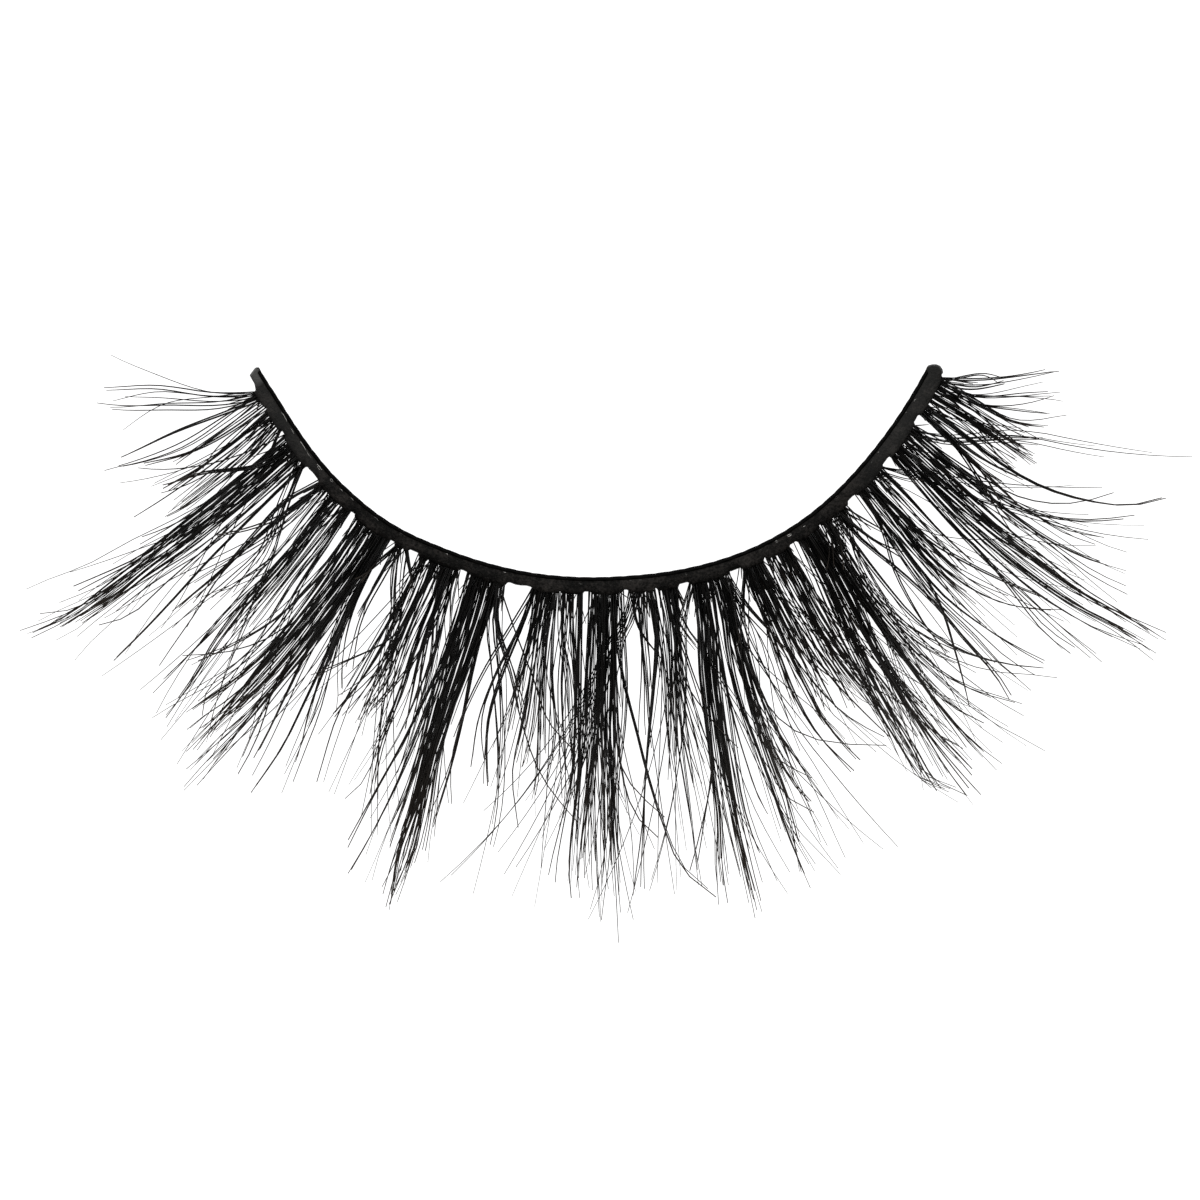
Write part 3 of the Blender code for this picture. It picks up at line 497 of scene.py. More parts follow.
        Tuft((38.8, 39.0, 40.2, 40.9, 40.8, 40.8, 40.4), 11.0, (0.16, 0.12, 0.05), 3),
        Tuft((38.9, 39.8, 41.6), 3.9, (0.16, 0.16, 0.12), 3, OVER),
        Tuft((39.8, 41.4, 42.1), 2.6, (0.12, 0.12, 0.1), 2, OVER),
    )),
    Cluster(42.9, 48.3, 0.95, 15, 11.0, 1.8, (
        Tuft((43.3, 42.6, 39.9, 38.75, 38.5), 8.2, PAIR, 2, CREST),
        Tuft((43.4, 42.9, 42.4, 41.5, 39.4, 37.1), 10.2, PAIR, 2, CREST),
        Tuft((43.2, 42.5, 41.75, 41.45, 41.9, 42.35, 42.9), 10.8, (0.4, 0.2, 0.05), 10),
        Tuft((43.9, 43.4, 43.2, 43.05, 42.9), 6.9, (0.45, 0.24, 0.06), 11),
        Tuft((43.4, 42.9, 42.4, 42.2, 43.0, 44.15, 44.75), 10.9, PAIR, 2, OVER),
        Tuft((44.8, 44.4, 43.7, 44.0, 44.3), 7.1, (0.4, 0.22, 0.06), 10),
        Tuft((45.3, 45.05, 44.6, 44.3), 5.4, (0.3, 0.18, 0.06), 7),
        Tuft((45.9, 45.7, 45.3, 45.2), 5.7, (0.3, 0.16, 0.06), 6),
        Tuft((47.0, 46.9, 46.5, 46.15, 46.1), 6.5, (0.3, 0.16, 0.06), 6),
        Tuft((48.0, 47.7, 47.15, 47.15), 6.1, WISP, 3),
        Tuft((47.6, 50.2), 2.2, (0.2, 0.24, 0.24), 5, OVER),
        Tuft((45.2, 45.4, 45.6, 46.9, 48.5, 49.7), 9.4, WISP, 2, OVER),
        Tuft((44.7, 44.4, 44.2, 44.6, 46.1, 49.4), 10.2, WISP, 2, OVER),
        Tuft((45.3, 45.3, 45.2, 45.3, 46.6), 8.2, WISP, 2, OVER),
    )),
    Cluster(50.4, 56.2, 0.85, 20, 11.5, 0.9, (
        Tuft((50.7, 49.9, 48.9, 48.35, 48.3, 48.2, 48.4), 12.0, (0.22, 0.12, 0.04), 6),
        Tuft((50.7, 49.7, 48.8, 48.5, 47.6, 46.6, 46.5), 11.5, PAIR, 2),
        Tuft((51.6, 51.15, 50.35, 50.1, 50.15, 50.55, 51.4, 51.8), 13.4, (0.4, 0.28, 0.05), 15),
        Tuft((51.0, 50.4, 49.5, 49.05, 49.0, 49.45, 50.25, 50.8), 12.8, (0.22, 0.14, 0.05), 6),
        Tuft((52.0, 51.4, 51.1, 51.05, 51.4, 51.7), 9.0, (0.2, 0.14, 0.06), 5),
        Tuft((53.1, 52.65, 52.2, 51.8, 51.8, 51.95, 52.6, 52.9), 13.4, (0.7, 0.36, 0.05), 22),
        Tuft((54.1, 53.6, 52.8, 52.8), 4.6, (0.36, 0.22, 0.08), 8),
        Tuft((55.5, 54.6, 54.0, 53.85, 53.8, 53.85, 54.5), 11.8, (0.3, 0.14, 0.04), 6),
        Tuft((54.6, 54.0, 54.3, 55.2, 55.6, 56.9), 9.7, WISP, 2),
        Tuft((55.2, 54.9, 54.8, 55.1, 56.9, 59.9), 10.2, WISP, 2, OVER),
        Tuft((55.4, 55.3, 55.5, 56.3, 59.2, 61.7), 9.0, HAIR, 1, OVER),
        Tuft((55.0, 54.5, 54.2, 54.0, 54.2, 55.2, 55.6), 10.5, WISP, 2),
        Tuft((55.0, 56.9, 60.8, 62.0), 5.2, (0.14, 0.2, 0.16), 4, OVER),
    )),
    Cluster(58.0, 64.3, 0.7, 3, 7.0, 0.3, (
        Tuft((58.3, 57.4, 55.0, 52.9, 52.4), 6.8, (0.1, 0.1, 0.06), 2, TOP),
        Tuft((58.4, 57.2, 56.1, 55.2), 6.1, (0.08, 0.08, 0.05), 2, TOP),
        Tuft((58.2, 57.3, 55.9, 54.1), 5.4, (0.08, 0.08, 0.05), 2, TOP),
        Tuft((58.4, 57.35, 56.35, 56.4), 5.3, (0.22, 0.14, 0.06), 6),
        Tuft((58.8, 57.85, 57.45, 57.8), 5.4, (0.2, 0.12, 0.06), 4),
        Tuft((59.3, 59.0, 58.3, 58.1), 5.4, (0.4, 0.24, 0.06), 10),
        Tuft((59.2, 58.9, 58.2, 58.25, 59.4, 61.6, 64.3), 11.3, (0.08, 0.06, 0.04), 2, TOP),
        Tuft((60.1, 59.75, 59.0, 58.6), 5.2, (0.26, 0.16, 0.06), 6),
        Tuft((61.0, 60.7, 60.3, 60.1), 5.6, (0.32, 0.2, 0.06), 8),
        Tuft((61.8, 61.5, 61.05, 60.7), 5.5, (0.34, 0.2, 0.06), 8),
        Tuft((62.5, 62.25, 62.15, 62.3), 4.5, (0.2, 0.14, 0.06), 5),
        Tuft((63.1, 63.1, 62.8, 62.9), 5.2, (0.36, 0.2, 0.06), 9),
        Tuft((63.9, 63.45, 63.3, 64.8), 5.6, (0.22, 0.14, 0.08), 5),
        Tuft((63.6, 65.6, 69.3, 70.8), 4.8, (0.14, 0.14, 0.1), 4, OVER),
        Tuft((63.4, 67.0, 68.4), 3.0, (0.1, 0.12, 0.1), 2, OVER),
        Tuft((63.3, 63.4, 66.2, 67.8), 5.3, (0.14, 0.14, 0.12), 4, OVER),
        Tuft((63.1, 63.2, 65.3, 66.7), 5.2, (0.14, 0.14, 0.12), 4, OVER),
        Tuft((63.4, 64.9, 67.2), 3.1, (0.1, 0.12, 0.1), 2, OVER),
    )),
)


def smooth_step(value):
    """Eases from 0 to 1 as the value goes there, and stays at them beyond."""
    value = np.clip(value, 0.0, 1.0)
    return value * value * (3.0 - 2.0 * value)


def curve_through(marks, values, places):
    """A smooth curve through the values at the marks, read at these places."""
    slopes = np.gradient(values, marks)
    i = np.clip(np.searchsorted(marks, places, side="right") - 1, 0, len(marks) - 2)
    gap = marks[i + 1] - marks[i]
    t = (places - marks[i]) / gap
    bend = t * t * (3.0 - 2.0 * t)
    return ((1.0 - bend) * values[i] + bend * values[i + 1]
            + gap * slopes[i] * t * (1.0 - t) ** 2
            - gap * slopes[i + 1] * t * t * (1.0 - t))


def inner_edge(angle):
    """The radius of the strip's inner edge, which waves gently along its length."""
    marks, offsets = np.array(EDGE).T
    return INNER_RADIUS + curve_through(marks, offsets, np.clip(angle, marks[0], marks[-1]))


def strip_width(angle):
    """How wide the band and its thread are together, in mm, without the webs."""
    full = STRIP_WIDTH + RIGHT_WIDER * smooth_step((angle - RIGHT_FROM) / RIGHT_EASE)
    share = smooth_step((angle - TAB_END + TAB_EASE) / TAB_EASE)
    return TAB_WIDTH + (full - TAB_WIDTH) * share


def at(angle, radius, height):
    """Points, in mm, at these angles, distances from the band's centre and heights."""
    turn = np.radians(angle)
    x = radius * np.sin(turn)
    y = CENTRE_Y - radius * np.cos(turn)
    return np.stack(np.broadcast_arrays(x, y, height), axis=-1)


def lash_rise(reach, lift):
    """How high the underside of a lash runs at this reach."""
    run = np.maximum(reach - STRIP_WIDTH, 0.0)
    base = FLOOR_CLEARANCE + (ROOT_HEIGHT - 0.5 * ROOT_THICKNESS) * (1.0 - smooth_step(run / LOWEST_AT))
    past = np.maximum(run - LOWEST_AT, 0.0)
    arc = np.minimum(past, ARC_RUN)
    curl = CURL_RADIUS - np.sqrt(CURL_RADIUS ** 2 - arc ** 2)
    straight = (past - arc) * ARC_RUN / math.sqrt(CURL_RADIUS ** 2 - ARC_RUN ** 2)
    return base + curl + straight + lift * smooth_step(run / LIFT_WITHIN)


def root_reach(angle):
    """Where a lash starts: tucked a little under the strip's outer edge."""
    return inner_edge(angle) - INNER_RADIUS + strip_width(angle) - ROOT_TUCK


def tuft_line(tuft, reach):
    """The angle of a tuft's middle line at these reaches. Past its tip it goes on, bending less."""
    marks = [ANGLE_STEP * i for i in range(1, len(tuft.angles) - 1)]
    marks = np.array([root_reach(tuft.angles[0])] + marks + [tuft.reach])
    angles = np.array(tuft.angles)
    slope = (angles[-1] - angles[-2]) / (marks[-1] - marks[-2])
    past = np.maximum(reach - tuft.reach, 0.0)
    return curve_through(marks, angles, np.minimum(reach, tuft.reach)) + TIP_BENDS_ON * slope * past


def hair_lines(angle, across, reach, lift, thick, random):
    """Points, radii and shares along hairs, from their angle, sideways offset in mm and reach."""
    angle = angle + np.degrees(across / (INNER_RADIUS + reach))
    radius = thick * (TIP_SHARE + (1.0 - TIP_SHARE) * (1.0 - SHARES ** TAPER_POWER))
    depth = ROOT_THICKNESS + (TIP_THICKNESS - ROOT_THICKNESS) * SHARES
    level = random.random((len(reach), 1))
    height = lash_rise(reach, lift) + radius + np.maximum(depth - 2.0 * radius, 0.0) * level
    return at(angle, INNER_RADIUS + reach, height), radius, np.broadcast_to(SHARES, radius.shape)


def gathered_across(tuft, along, count, random):
    """How far hairs run from a tuft's middle line, in mm: they cross, and gather in spikes."""
    even = np.linspace(-1.0, 1.0, count) if count > 1 else np.zeros(1)
    side = (even + random.normal(0.0, SIDE_JITTER, count))[:, None]
    crossed = side + CROSSING * random.normal(0.0, 1.0, (count, 1))
    crossed = np.clip(crossed, -SIDE_MOST, SIDE_MOST)
    side = side + (crossed - side) * smooth_step(CROSSING_HASTE * along)
    spikes = max(1, round(tuft.widths[1] / SPIKE_WIDTH))
    spike = np.clip(np.floor((crossed + 1.0) * 0.5 * spikes), 0, spikes - 1)
    centre = (spike + 0.5) / spikes * 2.0 - 1.0
    gathered = GATHERED * np.minimum(along, 1.0) ** GATHERING_POWER
    half_width = 0.5 * np.interp(along, WIDTHS_AT, tuft.widths)
    return half_width * (side * (1.0 - gathered) + centre * gathered)


def tuft_hairs(tuft, fill, random):
    """The lashes of one tuft."""
    few = tuft.hairs < FEW_HAIRS
    fuller = (tuft.reach / USUAL_REACH) ** LONG_TUFTS_FULLER
    count = tuft.hairs if few else max(FEW_HAIRS - 1, round(GATHERED_SHARE * fill * fuller * tuft.hairs))
    each = (count, 1)
    if few:
        ends = 1.0 - FEW_SHORTER * random.random(each)
    else:
        ends = random.uniform(END_SHORT, END_LONG, each)
    root = root_reach(tuft.angles[0])
    reach = root + (ends * tuft.reach - root) * SHARES
    along = reach / tuft.reach
    across = gathered_across(tuft, along, count, random)
    if not few:
        bow = np.where(random.random(each) < 0.5, along ** STRAY_POWER, np.sin(math.pi * along))
        strays = random.random(each) < STRAYS
        across = across + STRAY * random.normal(0.0, 1.0, each) * bow * strays
    phase = random.random(each) * 2.0 * math.pi
    waves = along * np.sin(WANDER_TURNS * along + phase)
    across = across + WANDER * random.normal(0.0, 1.0, each) * waves
    outer = np.maximum(along - FLARE_FROM, 0.0) / (1.0 - FLARE_FROM)
    flare = TIP_FLARE * random.normal(0.0, 1.0, each) * outer ** 2
    across = across + flare * (random.random(each) < 0.5)
    thick = (SINGLE_THICKER if few else 1.0) * random.uniform(FINE_HAIR, THICK_HAIR, each)
    return hair_lines(tuft_line(tuft, reach), across, reach, tuft.lift, thick, random)


def leaning_hairs(tuft, other, count, random):
    """Lashes that cross from one tuft of a cluster towards another."""
    each = (count, 1)
    most = 0.5 * (tuft.reach + other.reach)
    root = root_reach(tuft.angles[0])
    reach = root + (most * random.uniform(LEAN_SHORT, LEAN_LONG, each) - root) * SHARES
    along = reach / most
    over = random.uniform(1.0 - LEAN_MOST, LEAN_MOST, each) * smooth_step(along)
    angle = tuft_line(tuft, reach) * (1.0 - over) + tuft_line(other, reach) * over
    side = random.uniform(-0.5, 0.5, each) * tuft.widths[0] * (1.0 - SHARES)
    bend = LEAN_STRAY * random.normal(0.0, 1.0, each) * along ** LEAN_POWER
    thick = LEAN_FINENESS * random.uniform(FINE_HAIR, THICK_HAIR, each)
    return hair_lines(angle, side + bend, reach, tuft.lift, thick, random)


def loose_hairs(cluster, random):
    """Lashes that leave their cluster singly, each at its own slant and length."""
    each = (cluster.loose, 1)
    start = random.uniform(cluster.left, cluster.right, each)
    root = root_reach(start)
    ends = cluster.far * (LOOSE_SHORT + (1.0 - LOOSE_SHORT) * random.random(each) ** LOOSE_POWER)
    reach = root + (ends - root) * SHARES
    guides = [tuft for tuft in cluster.tufts if tuft.hairs >= FEW_HAIRS]
    roots = np.array([tuft.angles[0] for tuft in guides])
    nearest = np.abs(start - roots[None, :]).argmin(axis=1)
    bend = np.stack([tuft_line(guides[i], row) - roots[i] for i, row in zip(nearest, reach)])
    bow = random.uniform(*LOOSE_BOWS, each)
    astray = np.clip(random.normal(0.0, 1.0, each), -LOOSE_MOST, LOOSE_MOST)
    lean = (cluster.sweep + LOOSE_LEAN * astray) * SHARES ** bow
    thick = LOOSE_FINENESS * random.uniform(FINE_HAIR, THICK_HAIR, each)
    return hair_lines(start + bend, lean, reach, FLAT, thick, random)


def stubs(cluster, random):
    """The short ends that are glued over the band's outer side and make a cluster's root black."""
    count = round(STUBS_PER_DEGREE * (cluster.right - cluster.left))
    each = (count, 1)
    start = random.uniform(cluster.left, cluster.right, each)
    edge = root_reach(start)
    root = edge - random.uniform(0.0, STUB_OVERLAP, each)
    reach = root + random.uniform(STUB_SHORT, STUB_LONG, each) * SHARES
    lean = STUB_LEAN * random.normal(0.0, 1.0, each) * SHARES
    thick = random.uniform(FINE_HAIR, THICK_HAIR, each)
    line, radius, along = hair_lines(start, lean, reach, FLAT, thick, random)
    on_band = smooth_step((edge + STUB_FALL - reach) / STUB_FALL)
    low = line[:, :, 2]
    line[:, :, 2] = low + (STUB_HEIGHT - low) * on_band
    return line, radius, along


def skin(count, sides):
    """The faces of a skin through this many rings of points."""
    step = np.arange(count - 1)[:, None] * sides
    k = np.arange(sides)[None, :]
    nxt = (k + 1) % sides
    return np.stack((step + k, step + nxt, step + sides + nxt, step + sides + k), axis=-1).reshape(-1, 4)


def loft(rings):
    """Vertices and faces of a skin through these rings of points."""
    return rings.reshape(-1, 3), skin(*rings.shape[:2])


def tubes(lines, radii):
    """Vertices and faces of a thin tube round each line."""
    count, points = radii.shape
    ahead = np.gradient(lines, axis=1)
    ahead /= np.linalg.norm(ahead, axis=2, keepdims=True)
    across = np.cross(ahead, np.array((0.0, 0.0, 1.0)))
    across /= np.linalg.norm(across, axis=2, keepdims=True)
    upward = np.cross(across, ahead)
    turn = 2.0 * math.pi * np.arange(SIDES) / SIDES + 0.5 * math.pi
    ring = (across[:, :, None, :] * np.cos(turn)[None, None, :, None]
            + upward[:, :, None, :] * np.sin(turn)[None, None, :, None])
    vertices = lines[:, :, None, :] + ring * radii[:, :, None, None]
    first = (np.arange(count) * points * SIDES)[:, None, None]
    return vertices.reshape(-1, 3), (skin(points, SIDES)[None] + first).reshape(-1, 4)


def mesh_object(name, vertices, quads, values=()):
    """An object in metres from arrays of points and four-cornered faces, with values at its points."""
    data = bpy.data.meshes.new(name)
    data.vertices.add(len(vertices))
    data.vertices.foreach_set("co", (np.asarray(vertices) * METRES_PER_MM).astype(np.float32).ravel())
    data.loops.add(quads.size)
    data.loops.foreach_set("vertex_index", quads.astype(np.int32).ravel())
    data.polygons.add(len(quads))
    data.polygons.foreach_set("loop_start", np.arange(0, quads.size, 4, dtype=np.int32))
    data.polygons.foreach_set("use_smooth", np.ones(len(quads), dtype=bool))
    data.update(calc_edges=True)
    data.validate()
    for label, numbers in values:
        attribute = data.attributes.new(label, "FLOAT", "POINT")
        attribute.data.foreach_set("value", np.asarray(numbers, dtype=np.float32).ravel())
    made = bpy.data.objects.new(name, data)
    bpy.context.scene.collection.objects.link(made)
    return made


class Nodes:
    """A short way to build a material's nodes. What each step gives is an output to link on."""

    def __init__(self, name):
        self.material = bpy.data.materials.new(name)
        self.material.use_nodes = True
        self.tree = self.material.node_tree
        self.shader = self.tree.nodes["Principled BSDF"]

    def add(self, kind, **settings):
        node = self.tree.nodes.new(kind)
        for key, value in settings.items():
            if hasattr(node, key):
                setattr(node, key, value)
            else:
                node.inputs[key.replace("_", " ")].default_value = value
        return node

    def link(self, out, into):
        self.tree.links.new(out, into)

    def attribute(self, label):
        return self.add("ShaderNodeAttribute", attribute_name=label).outputs["Fac"]

    def noise(self, scale, detail, roughness=0.5):
        """A noise in the object's own space."""
        place = self.add("ShaderNodeTexCoord")
        made = self.add("ShaderNodeTexNoise", Scale=scale, Detail=detail, Roughness=roughness)
        self.link(place.outputs["Object"], made.inputs["Vector"])
        return made.outputs["Fac"]

    def multiply(self, first, second):
        made = self.add("ShaderNodeMath", operation="MULTIPLY")
        self.link(first, made.inputs[0])
        self.link(second, made.inputs[1])
        return made.outputs[0]

    def ramp(self, source, tones, start=0.0, end=1.0):
        """A colour that goes from one tone to the other as the source goes from start to end."""
        made = self.add("ShaderNodeValToRGB")
        for stop, place, tone in zip(made.color_ramp.elements, (start, end), tones):
            stop.position = place
            stop.color = (*tone, 1.0)
        self.link(source, made.inputs["Fac"])
        return made.outputs["Color"]

    def mix(self, share, colour, other):
        """The colour, giving way to another plain one where the share is 1."""
        # A colour mix has its two colours at inputs 6 and 7
        made = self.add("ShaderNodeMix", data_type="RGBA")
        self.link(share, made.inputs["Factor"])
        self.link(colour, made.inputs[6])
        made.inputs[7].default_value = (*other, 1.0)
        return made.outputs[2]

    def colour(self, source):
        self.link(source, self.shader.inputs["Base Color"])

    def roughness(self, source, low, high):
        """Roughness that goes from low to high with the source."""
        made = self.add("ShaderNodeMapRange", To_Min=low, To_Max=high)
        self.link(source, made.inputs["Value"])
        self.link(made.outputs[0], self.shader.inputs["Roughness"])

    def bump(self, height, strength, distance):
        made = self.add("ShaderNodeBump", Strength=strength, Distance=distance)
        self.link(height, made.inputs["Height"])
        self.link(made.outputs["Normal"], self.shader.inputs["Normal"])


def lash_material():
    """Black silky fibre, each hair a little different, paler and browner towards its tip."""
    nodes = Nodes("lash_fibre")
    hair = nodes.attribute("hair")
    tip = nodes.add("ShaderNodeMath", operation="POWER")
    nodes.link(nodes.attribute("along"), tip.inputs[0])
    tip.inputs[1].default_value = FIBRE_TIP_POWER
    nodes.colour(nodes.mix(tip.outputs[0], nodes.ramp(hair, FIBRE_TONES), FIBRE_TIP))
    nodes.roughness(hair, low=0.28, high=0.5)
    nodes.shader.inputs["Specular IOR Level"].default_value = 0.045
    return nodes.material


def band_material(name, tones):
    """Satin glue: dark brown-grey, finely mottled, and paler where the pale share says: wholly on the tab,
    as a painted highlight, and by a share towards both ends.
    """
    nodes = Nodes(name)
    patches = nodes.noise(scale=1400.0, detail=4.0, roughness=0.6)
    flecks = nodes.noise(scale=9000.0, detail=3.0, roughness=0.7)
    mottled = nodes.ramp(nodes.multiply(patches, flecks), tones, start=0.20, end=0.42)
    # The pale share paints a highlight on the tab, and makes the band paler by a share towards its ends
    nodes.colour(nodes.mix(nodes.attribute("pale"), mottled, TAB_PAINTED_HIGHLIGHT))
    nodes.shader.inputs["Specular IOR Level"].default_value = 0.03
    nodes.roughness(patches, low=0.35, high=0.6)
    nodes.bump(flecks, strength=1.0, distance=0.00006)
    return nodes.material


def thread_material():
    """Black cotton thread, with painted shade in the grooves between its plies, varied by a noise."""
    nodes = Nodes("black_thread")
    # Painted shade: darker in the grooves between the plies, where ply is high, varied by a noise
    groove_shade_and_end_paling = nodes.multiply(nodes.attribute("ply"), nodes.noise(scale=2500.0, detail=3.0))
    nodes.colour(nodes.ramp(groove_shade_and_end_paling, THREAD_TONES, start=0.1, end=0.6))
    nodes.shader.inputs["Roughness"].default_value = 0.62
    nodes.shader.inputs["Specular IOR Level"].default_value = 0.02
    nodes.bump(nodes.noise(scale=15000.0, detail=2.0), strength=0.4, distance=0.00002)
    return nodes.material


def stitch_material():
    """The seam thread, whose light dashes are painted highlights in its colour."""
    nodes = Nodes("seam_thread_painted_highlights")
    # Painted highlight: the colour goes pale along each stitch
    light = nodes.multiply(nodes.attribute("painted_highlight"), nodes.noise(scale=6000.0, detail=2.0))
    nodes.colour(nodes.ramp(light, STITCH_HIGHLIGHT_TONES, start=0.06, end=0.55))
    nodes.shader.inputs["Roughness"].default_value = 0.35
    nodes.shader.inputs["Specular IOR Level"].default_value = 0.04
    return nodes.material


def floor_material():
    """A pale matt surface with a faint glow."""
    nodes = Nodes("pale_floor")
    nodes.colour(nodes.ramp(nodes.noise(scale=60.0, detail=3.0), FLOOR_TONES))
    nodes.shader.inputs["Roughness"].default_value = 0.9
    nodes.shader.inputs["Specular IOR Level"].default_value = 0.0
    nodes.shader.inputs["Emission Color"].default_value = WHITE
    nodes.shader.inputs["Emission Strength"].default_value = FLOOR_GLOW
    return nodes.material


def web(angle):
    """How far the glue spreads past the band's outer edge: out to each cluster's knot."""
    spread = np.zeros_like(angle)
    for cluster in CLUSTERS:
        inside = smooth_step((angle - cluster.left + WEB_EASE) / WEB_EASE)
        inside = inside * smooth_step((cluster.right + WEB_EASE - angle) / WEB_EASE)
        spread = np.maximum(spread, inside)
    return WEB_REACH * spread


def uneven(angle, count, size, random):
    """A small random change along the strip, in mm."""
    return np.interp(angle, np.linspace(THREAD_START, THREAD_END, count), random.normal(0.0, size, count))


def bare(angle):
    """1 at the strip's two ends, where the band goes over the thread, and 0 between them."""
    left = smooth_step((BARE_LEFT + BARE_EASE - angle) / BARE_EASE)
    right = smooth_step((angle - BARE_RIGHT + BARE_EASE) / BARE_EASE)
    return np.maximum(left, right)


def lash_band(finish):
    """The band: a low satin strip with a rounded top, wider where it holds a cluster."""
    random = np.random.default_rng(SEED)
    across, up = np.array(BAND_PROFILE).T
    left = np.interp(across, *np.array(LEFT_CUT).T)
    right = np.interp(across, *np.array(RIGHT_CUT).T)
    share = np.linspace(0.0, 1.0, BAND_STATIONS)[:, None]
    angle = left + (right - left) * share
    inner = (THREAD_INNER + THREAD_WIDTH - BAND_OVERLAP) * (1.0 - bare(angle))
    outer = strip_width(angle) + web(angle) + uneven(angle, RIPPLES, BAND_RIPPLE, random)
    height = (BAND_HEIGHT + uneven(angle, DENTS, BAND_DENT, random)) * up
    for i, low in enumerate(END_HEIGHTS):
        height[i] *= low
        height[-1 - i] *= low
    vertices, quads = loft(at(angle, inner_edge(angle) + inner + (outer - inner) * across, height))
    # The tab gets a painted highlight; the band grows paler by a share towards both ends
    tab = smooth_step((TAB_END - angle) / TAB_EASE)
    groove_shade_and_end_paling = ENDS_PALER * smooth_step((np.abs(angle) - PALE_FROM) / PALE_EASE)
    pale = np.broadcast_to(np.maximum(tab, groove_shade_and_end_paling), height.shape)
    piece = mesh_object("lash_band", vertices, quads, (("pale", pale),))
    piece.data.materials.append(finish)
    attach(piece, "root")
    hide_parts("band")


def edge_cord(finish):
    """The edge thread: two plies twisted together, so its outline turns as it goes."""
    angle = np.linspace(THREAD_START, THREAD_END, THREAD_STATIONS)[:, None]
    around = np.linspace(0.0, 2.0 * math.pi, THREAD_SIDES, endpoint=False)[None, :]
    twist = np.radians(angle) * INNER_RADIUS / THREAD_PITCH * 2.0 * math.pi
    # ply is 1 in the grooves between the plies, where the thread's colour is darkened as painted shade
    ply = np.abs(np.cos(around + 0.5 * twist))
    groove = 1.0 - THREAD_GROOVE * ply ** GROOVE_SHARPNESS
    reach = THREAD_INNER + 0.5 * THREAD_WIDTH * (1.0 + np.cos(around) * groove)
    height = 0.5 * THREAD_HEIGHT * (1.0 + np.sin(around) * groove)
    rings = at(angle, inner_edge(angle) + reach, height)
    for end in (0, -1):
        rings[end] = rings[end].mean(axis=0)
    vertices, quads = loft(rings)
    piece = mesh_object("edge_cord", vertices, quads, (("ply", ply),))
    piece.data.materials.append(finish)
    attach(piece, "root")
    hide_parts("edge_thread")


def stitches(finish):
    """The fine seam thread between band and edge thread: a row of short stitches, with painted highlights
    that show as light dashes.
    """
    random = np.random.default_rng(SEED)
    step = math.degrees(STITCH_SPACING / INNER_RADIUS)
    count = round((STITCH_END - STITCH_START) / step)
    start = STITCH_START + (np.arange(count) + random.uniform(-STITCH_JITTER, STITCH_JITTER, count)) * step
    plain = start < STITCH_BRIGHT_TO
    plain_length = random.uniform(*STITCH_LENGTHS, count)
    speck_length = random.uniform(*SPECK_LENGTHS, count)
    length = STITCH_LENGTH * np.where(plain, plain_length, speck_length)
    drift = random.uniform(-STITCH_DRIFT, STITCH_DRIFT, count)
    # How pale each stitch is painted, standing in for its highlight
    plain_highlight = random.uniform(*STITCH_HIGHLIGHTS, count)
    speck_highlight = SPECK_HIGHLIGHT * random.random(count) ** 2
    highlight_strength = np.where(plain, plain_highlight, speck_highlight)
    arch = np.sin(math.pi * SHARES)
    lines, painted_highlights = [], []
    for side in (-1.0, 1.0):
        keep = random.random(count) < STITCH_SHOWS
        angle = start[keep, None] + np.degrees(length[keep, None] / INNER_RADIUS) * SHARES
        loop = side * STITCH_LOOP * arch ** LOOP_ROUNDNESS
        reach = STITCH_REACH + drift[keep, None] + loop + STITCH_SLANT * SHARES
        lines.append(at(angle, inner_edge(angle) + reach, STITCH_HEIGHT + STITCH_ARCH * arch))
        painted_highlights.append(highlight_strength[keep])
    lines = np.concatenate(lines)
    painted_highlight = np.repeat(np.concatenate(painted_highlights), POINTS_PER_HAIR * SIDES)
    blunt = np.sin(math.pi * (STITCH_BLUNT + (1.0 - 2.0 * STITCH_BLUNT) * SHARES))
    vertices, quads = tubes(lines, STITCH_THICKNESS * blunt * np.ones((len(lines), 1)))
    piece = mesh_object("edge_stitches", vertices, quads, (("painted_highlight", painted_highlight),))
    piece.data.materials.append(finish)
    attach(piece, "root")


def blunt_outline(share, blunt):
    """1 in the middle, falling off at both ends."""
    return np.sin(math.pi * np.clip(share, blunt.cut, 1.0 - blunt.cut)) ** blunt.power


def knot_mesh(cluster, random):
    """The flat knot of glue that a cluster's hairs grow out of."""
    share = np.linspace(0.0, 1.0, KNOT_STATIONS)[:, None]
    angle = cluster.left + (cluster.right - cluster.left) * share
    near = inner_edge(angle) + strip_width(angle) - KNOT_TUCK
    lumps = random.normal(0.0, 1.0, KNOT_LUMPS)
    lump = 1.0 + KNOT_UNEVEN * np.interp(share, np.linspace(0.0, 1.0, KNOT_LUMPS), lumps)
    around = -np.linspace(0.0, 2.0 * math.pi, KNOT_SIDES, endpoint=False)[None, :]
    depth = KNOT_DEPTH * lump * blunt_outline(share, KNOT_OUTLINE)
    thick = KNOT_THICK * blunt_outline(share, KNOT_SECTION)
    radius = near + depth * (0.5 - 0.5 * np.cos(around))
    return loft(at(angle, radius, ROOT_HEIGHT + thick * np.sin(around)))


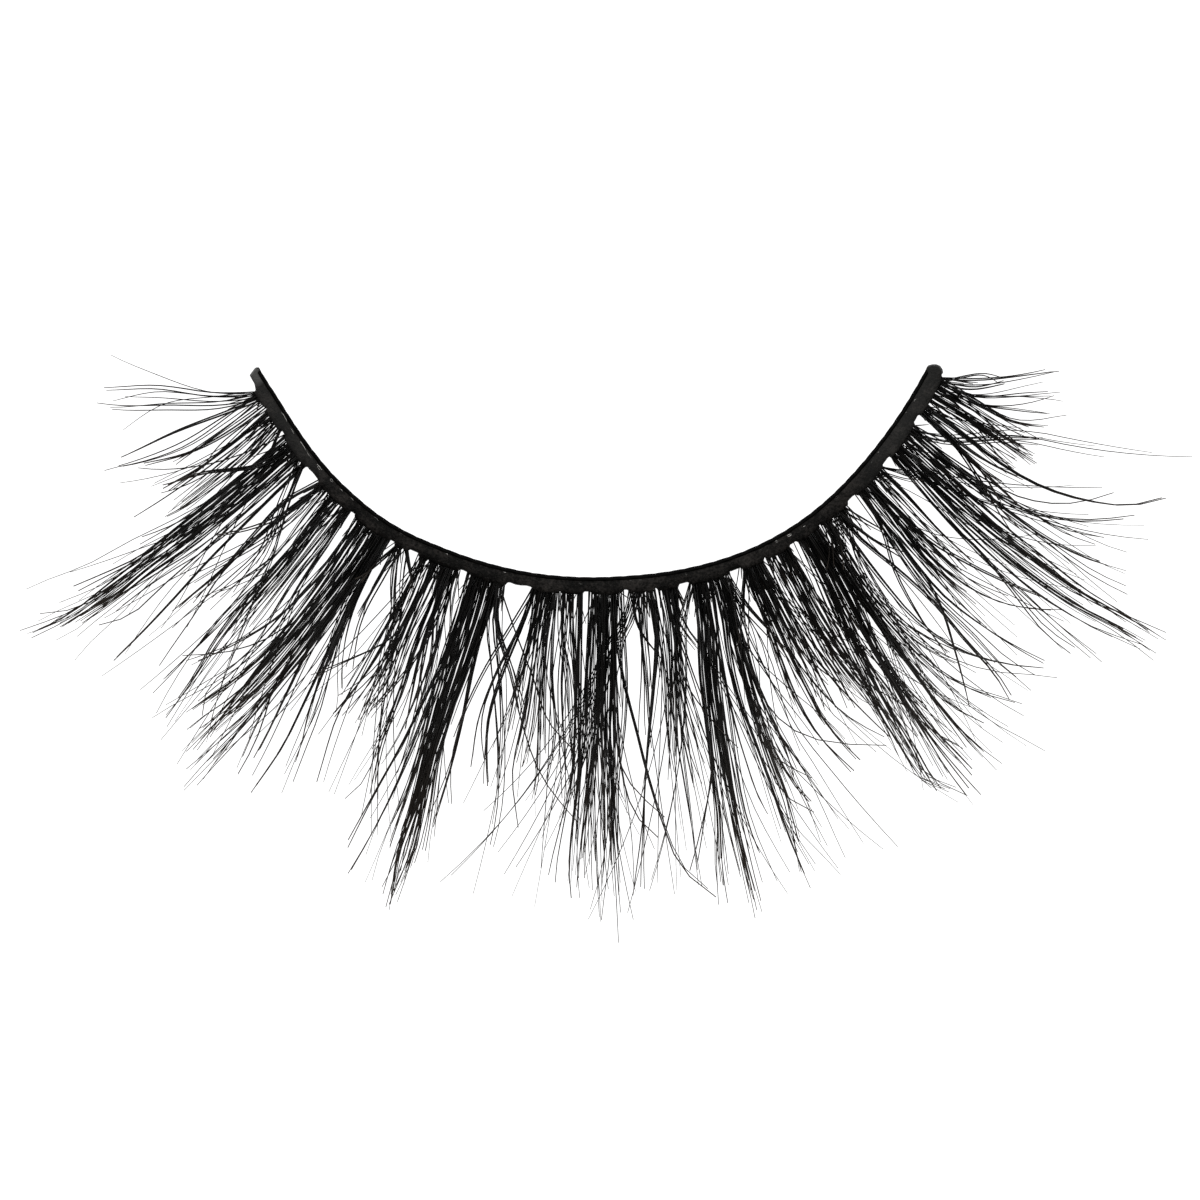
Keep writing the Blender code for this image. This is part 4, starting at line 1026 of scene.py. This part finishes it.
def lash_cluster(number, cluster, fibre, glue):
    """One cluster: its tufts, its leaning, loose and short hairs, and their knot."""
    random = np.random.default_rng(SEED + number)
    made = [tuft_hairs(tuft, cluster.fill, random) for tuft in cluster.tufts]
    thick_tufts = [tuft for tuft in cluster.tufts if tuft.hairs >= MANY_HAIRS]
    for tuft in thick_tufts:
        nearby = sorted(thick_tufts, key=lambda other: abs(other.angles[0] - tuft.angles[0]))
        for other in nearby[:NEAR_TUFTS]:
            count = max(1, round(LEANING_SHARE * cluster.fill * tuft.hairs / NEAR_TUFTS))
            made.append(leaning_hairs(tuft, other, count, random))
    made.append(loose_hairs(cluster, random))
    made.append(stubs(cluster, random))
    lines, radii, alongs = (np.concatenate(rows) for rows in zip(*made))
    along = np.repeat(alongs.reshape(-1), SIDES)
    hair = np.repeat(random.random(len(lines)), POINTS_PER_HAIR * SIDES)
    vertices, quads = tubes(lines, radii)
    knot, knot_quads = knot_mesh(cluster, random)
    no_hair = np.zeros(len(knot))
    values = (("hair", np.concatenate((hair, no_hair))), ("along", np.concatenate((along, no_hair))))
    name = f"lash_cluster_{number:02d}"
    piece = mesh_object(f"lashes_{number:02d}", np.concatenate((vertices, knot)),
                        np.concatenate((quads, knot_quads + len(vertices))), values)
    piece.data.materials.append(fibre)
    piece.data.materials.append(glue)
    finish = np.concatenate((np.zeros(len(quads)), np.ones(len(knot_quads)))).astype(np.int32)
    piece.data.polygons.foreach_set("material_index", finish)
    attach(piece, "root")
    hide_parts(name)


def stage_and_light():
    """The floor, the world's even light and the lamps."""
    signs = ((-1.0, -1.0), (1.0, -1.0), (1.0, 1.0), (-1.0, 1.0))
    corners = [(x * FLOOR_HALF, y * FLOOR_HALF, FLOOR_HEIGHT) for x, y in signs]
    data = bpy.data.meshes.new("floor")
    data.from_pydata(corners, [], [(0, 1, 2, 3)])
    floor = bpy.data.objects.new("floor", data)
    bpy.context.scene.collection.objects.link(floor)
    data.materials.append(floor_material())
    world = bpy.data.worlds.new("studio")
    world.use_nodes = True
    world.node_tree.nodes["Background"].inputs["Color"].default_value = WHITE
    world.node_tree.nodes["Background"].inputs["Strength"].default_value = WORLD_LIGHT
    bpy.context.scene.world = world
    for row in LAMPS:
        light = bpy.data.lights.new(row.name, "AREA")
        light.size = row.size
        light.energy = row.power
        lamp = bpy.data.objects.new(row.name, light)
        lamp.location = row.place
        x, y, z = row.place
        lamp.rotation_euler = (math.atan2(math.hypot(x, y), z), 0.0, math.atan2(y, x) + 0.5 * math.pi)
        bpy.context.scene.collection.objects.link(lamp)


def camera():
    """The camera, straight above."""
    data = bpy.data.cameras.new("camera")
    data.sensor_width = SENSOR_WIDTH
    data.sensor_fit = "HORIZONTAL"
    data.lens = SENSOR_WIDTH * CAMERA_HEIGHT / VIEW_WIDTH
    data.clip_start = CAMERA_NEAREST
    data.clip_end = CAMERA_FARTHEST
    view = bpy.data.objects.new("camera", data)
    x, y = VIEW_CENTRE
    view.location = (x * METRES_PER_MM, y * METRES_PER_MM, CAMERA_HEIGHT * METRES_PER_MM)
    bpy.context.scene.collection.objects.link(view)
    bpy.context.scene.camera = view


camera()
stage_and_light()
fibre = lash_material()
band_finish = band_material("band_satin", BAND_TONES)
root_finish = band_material("root_glue", GLUE_TONES)
thread_finish = thread_material()
for number, cluster in enumerate(CLUSTERS, start=1):
    lash_cluster(number, cluster, fibre, root_finish)
lash_band(band_finish)
edge_cord(thread_finish)
stitches(stitch_material())
bpy.context.scene.view_settings.view_transform = "Standard"
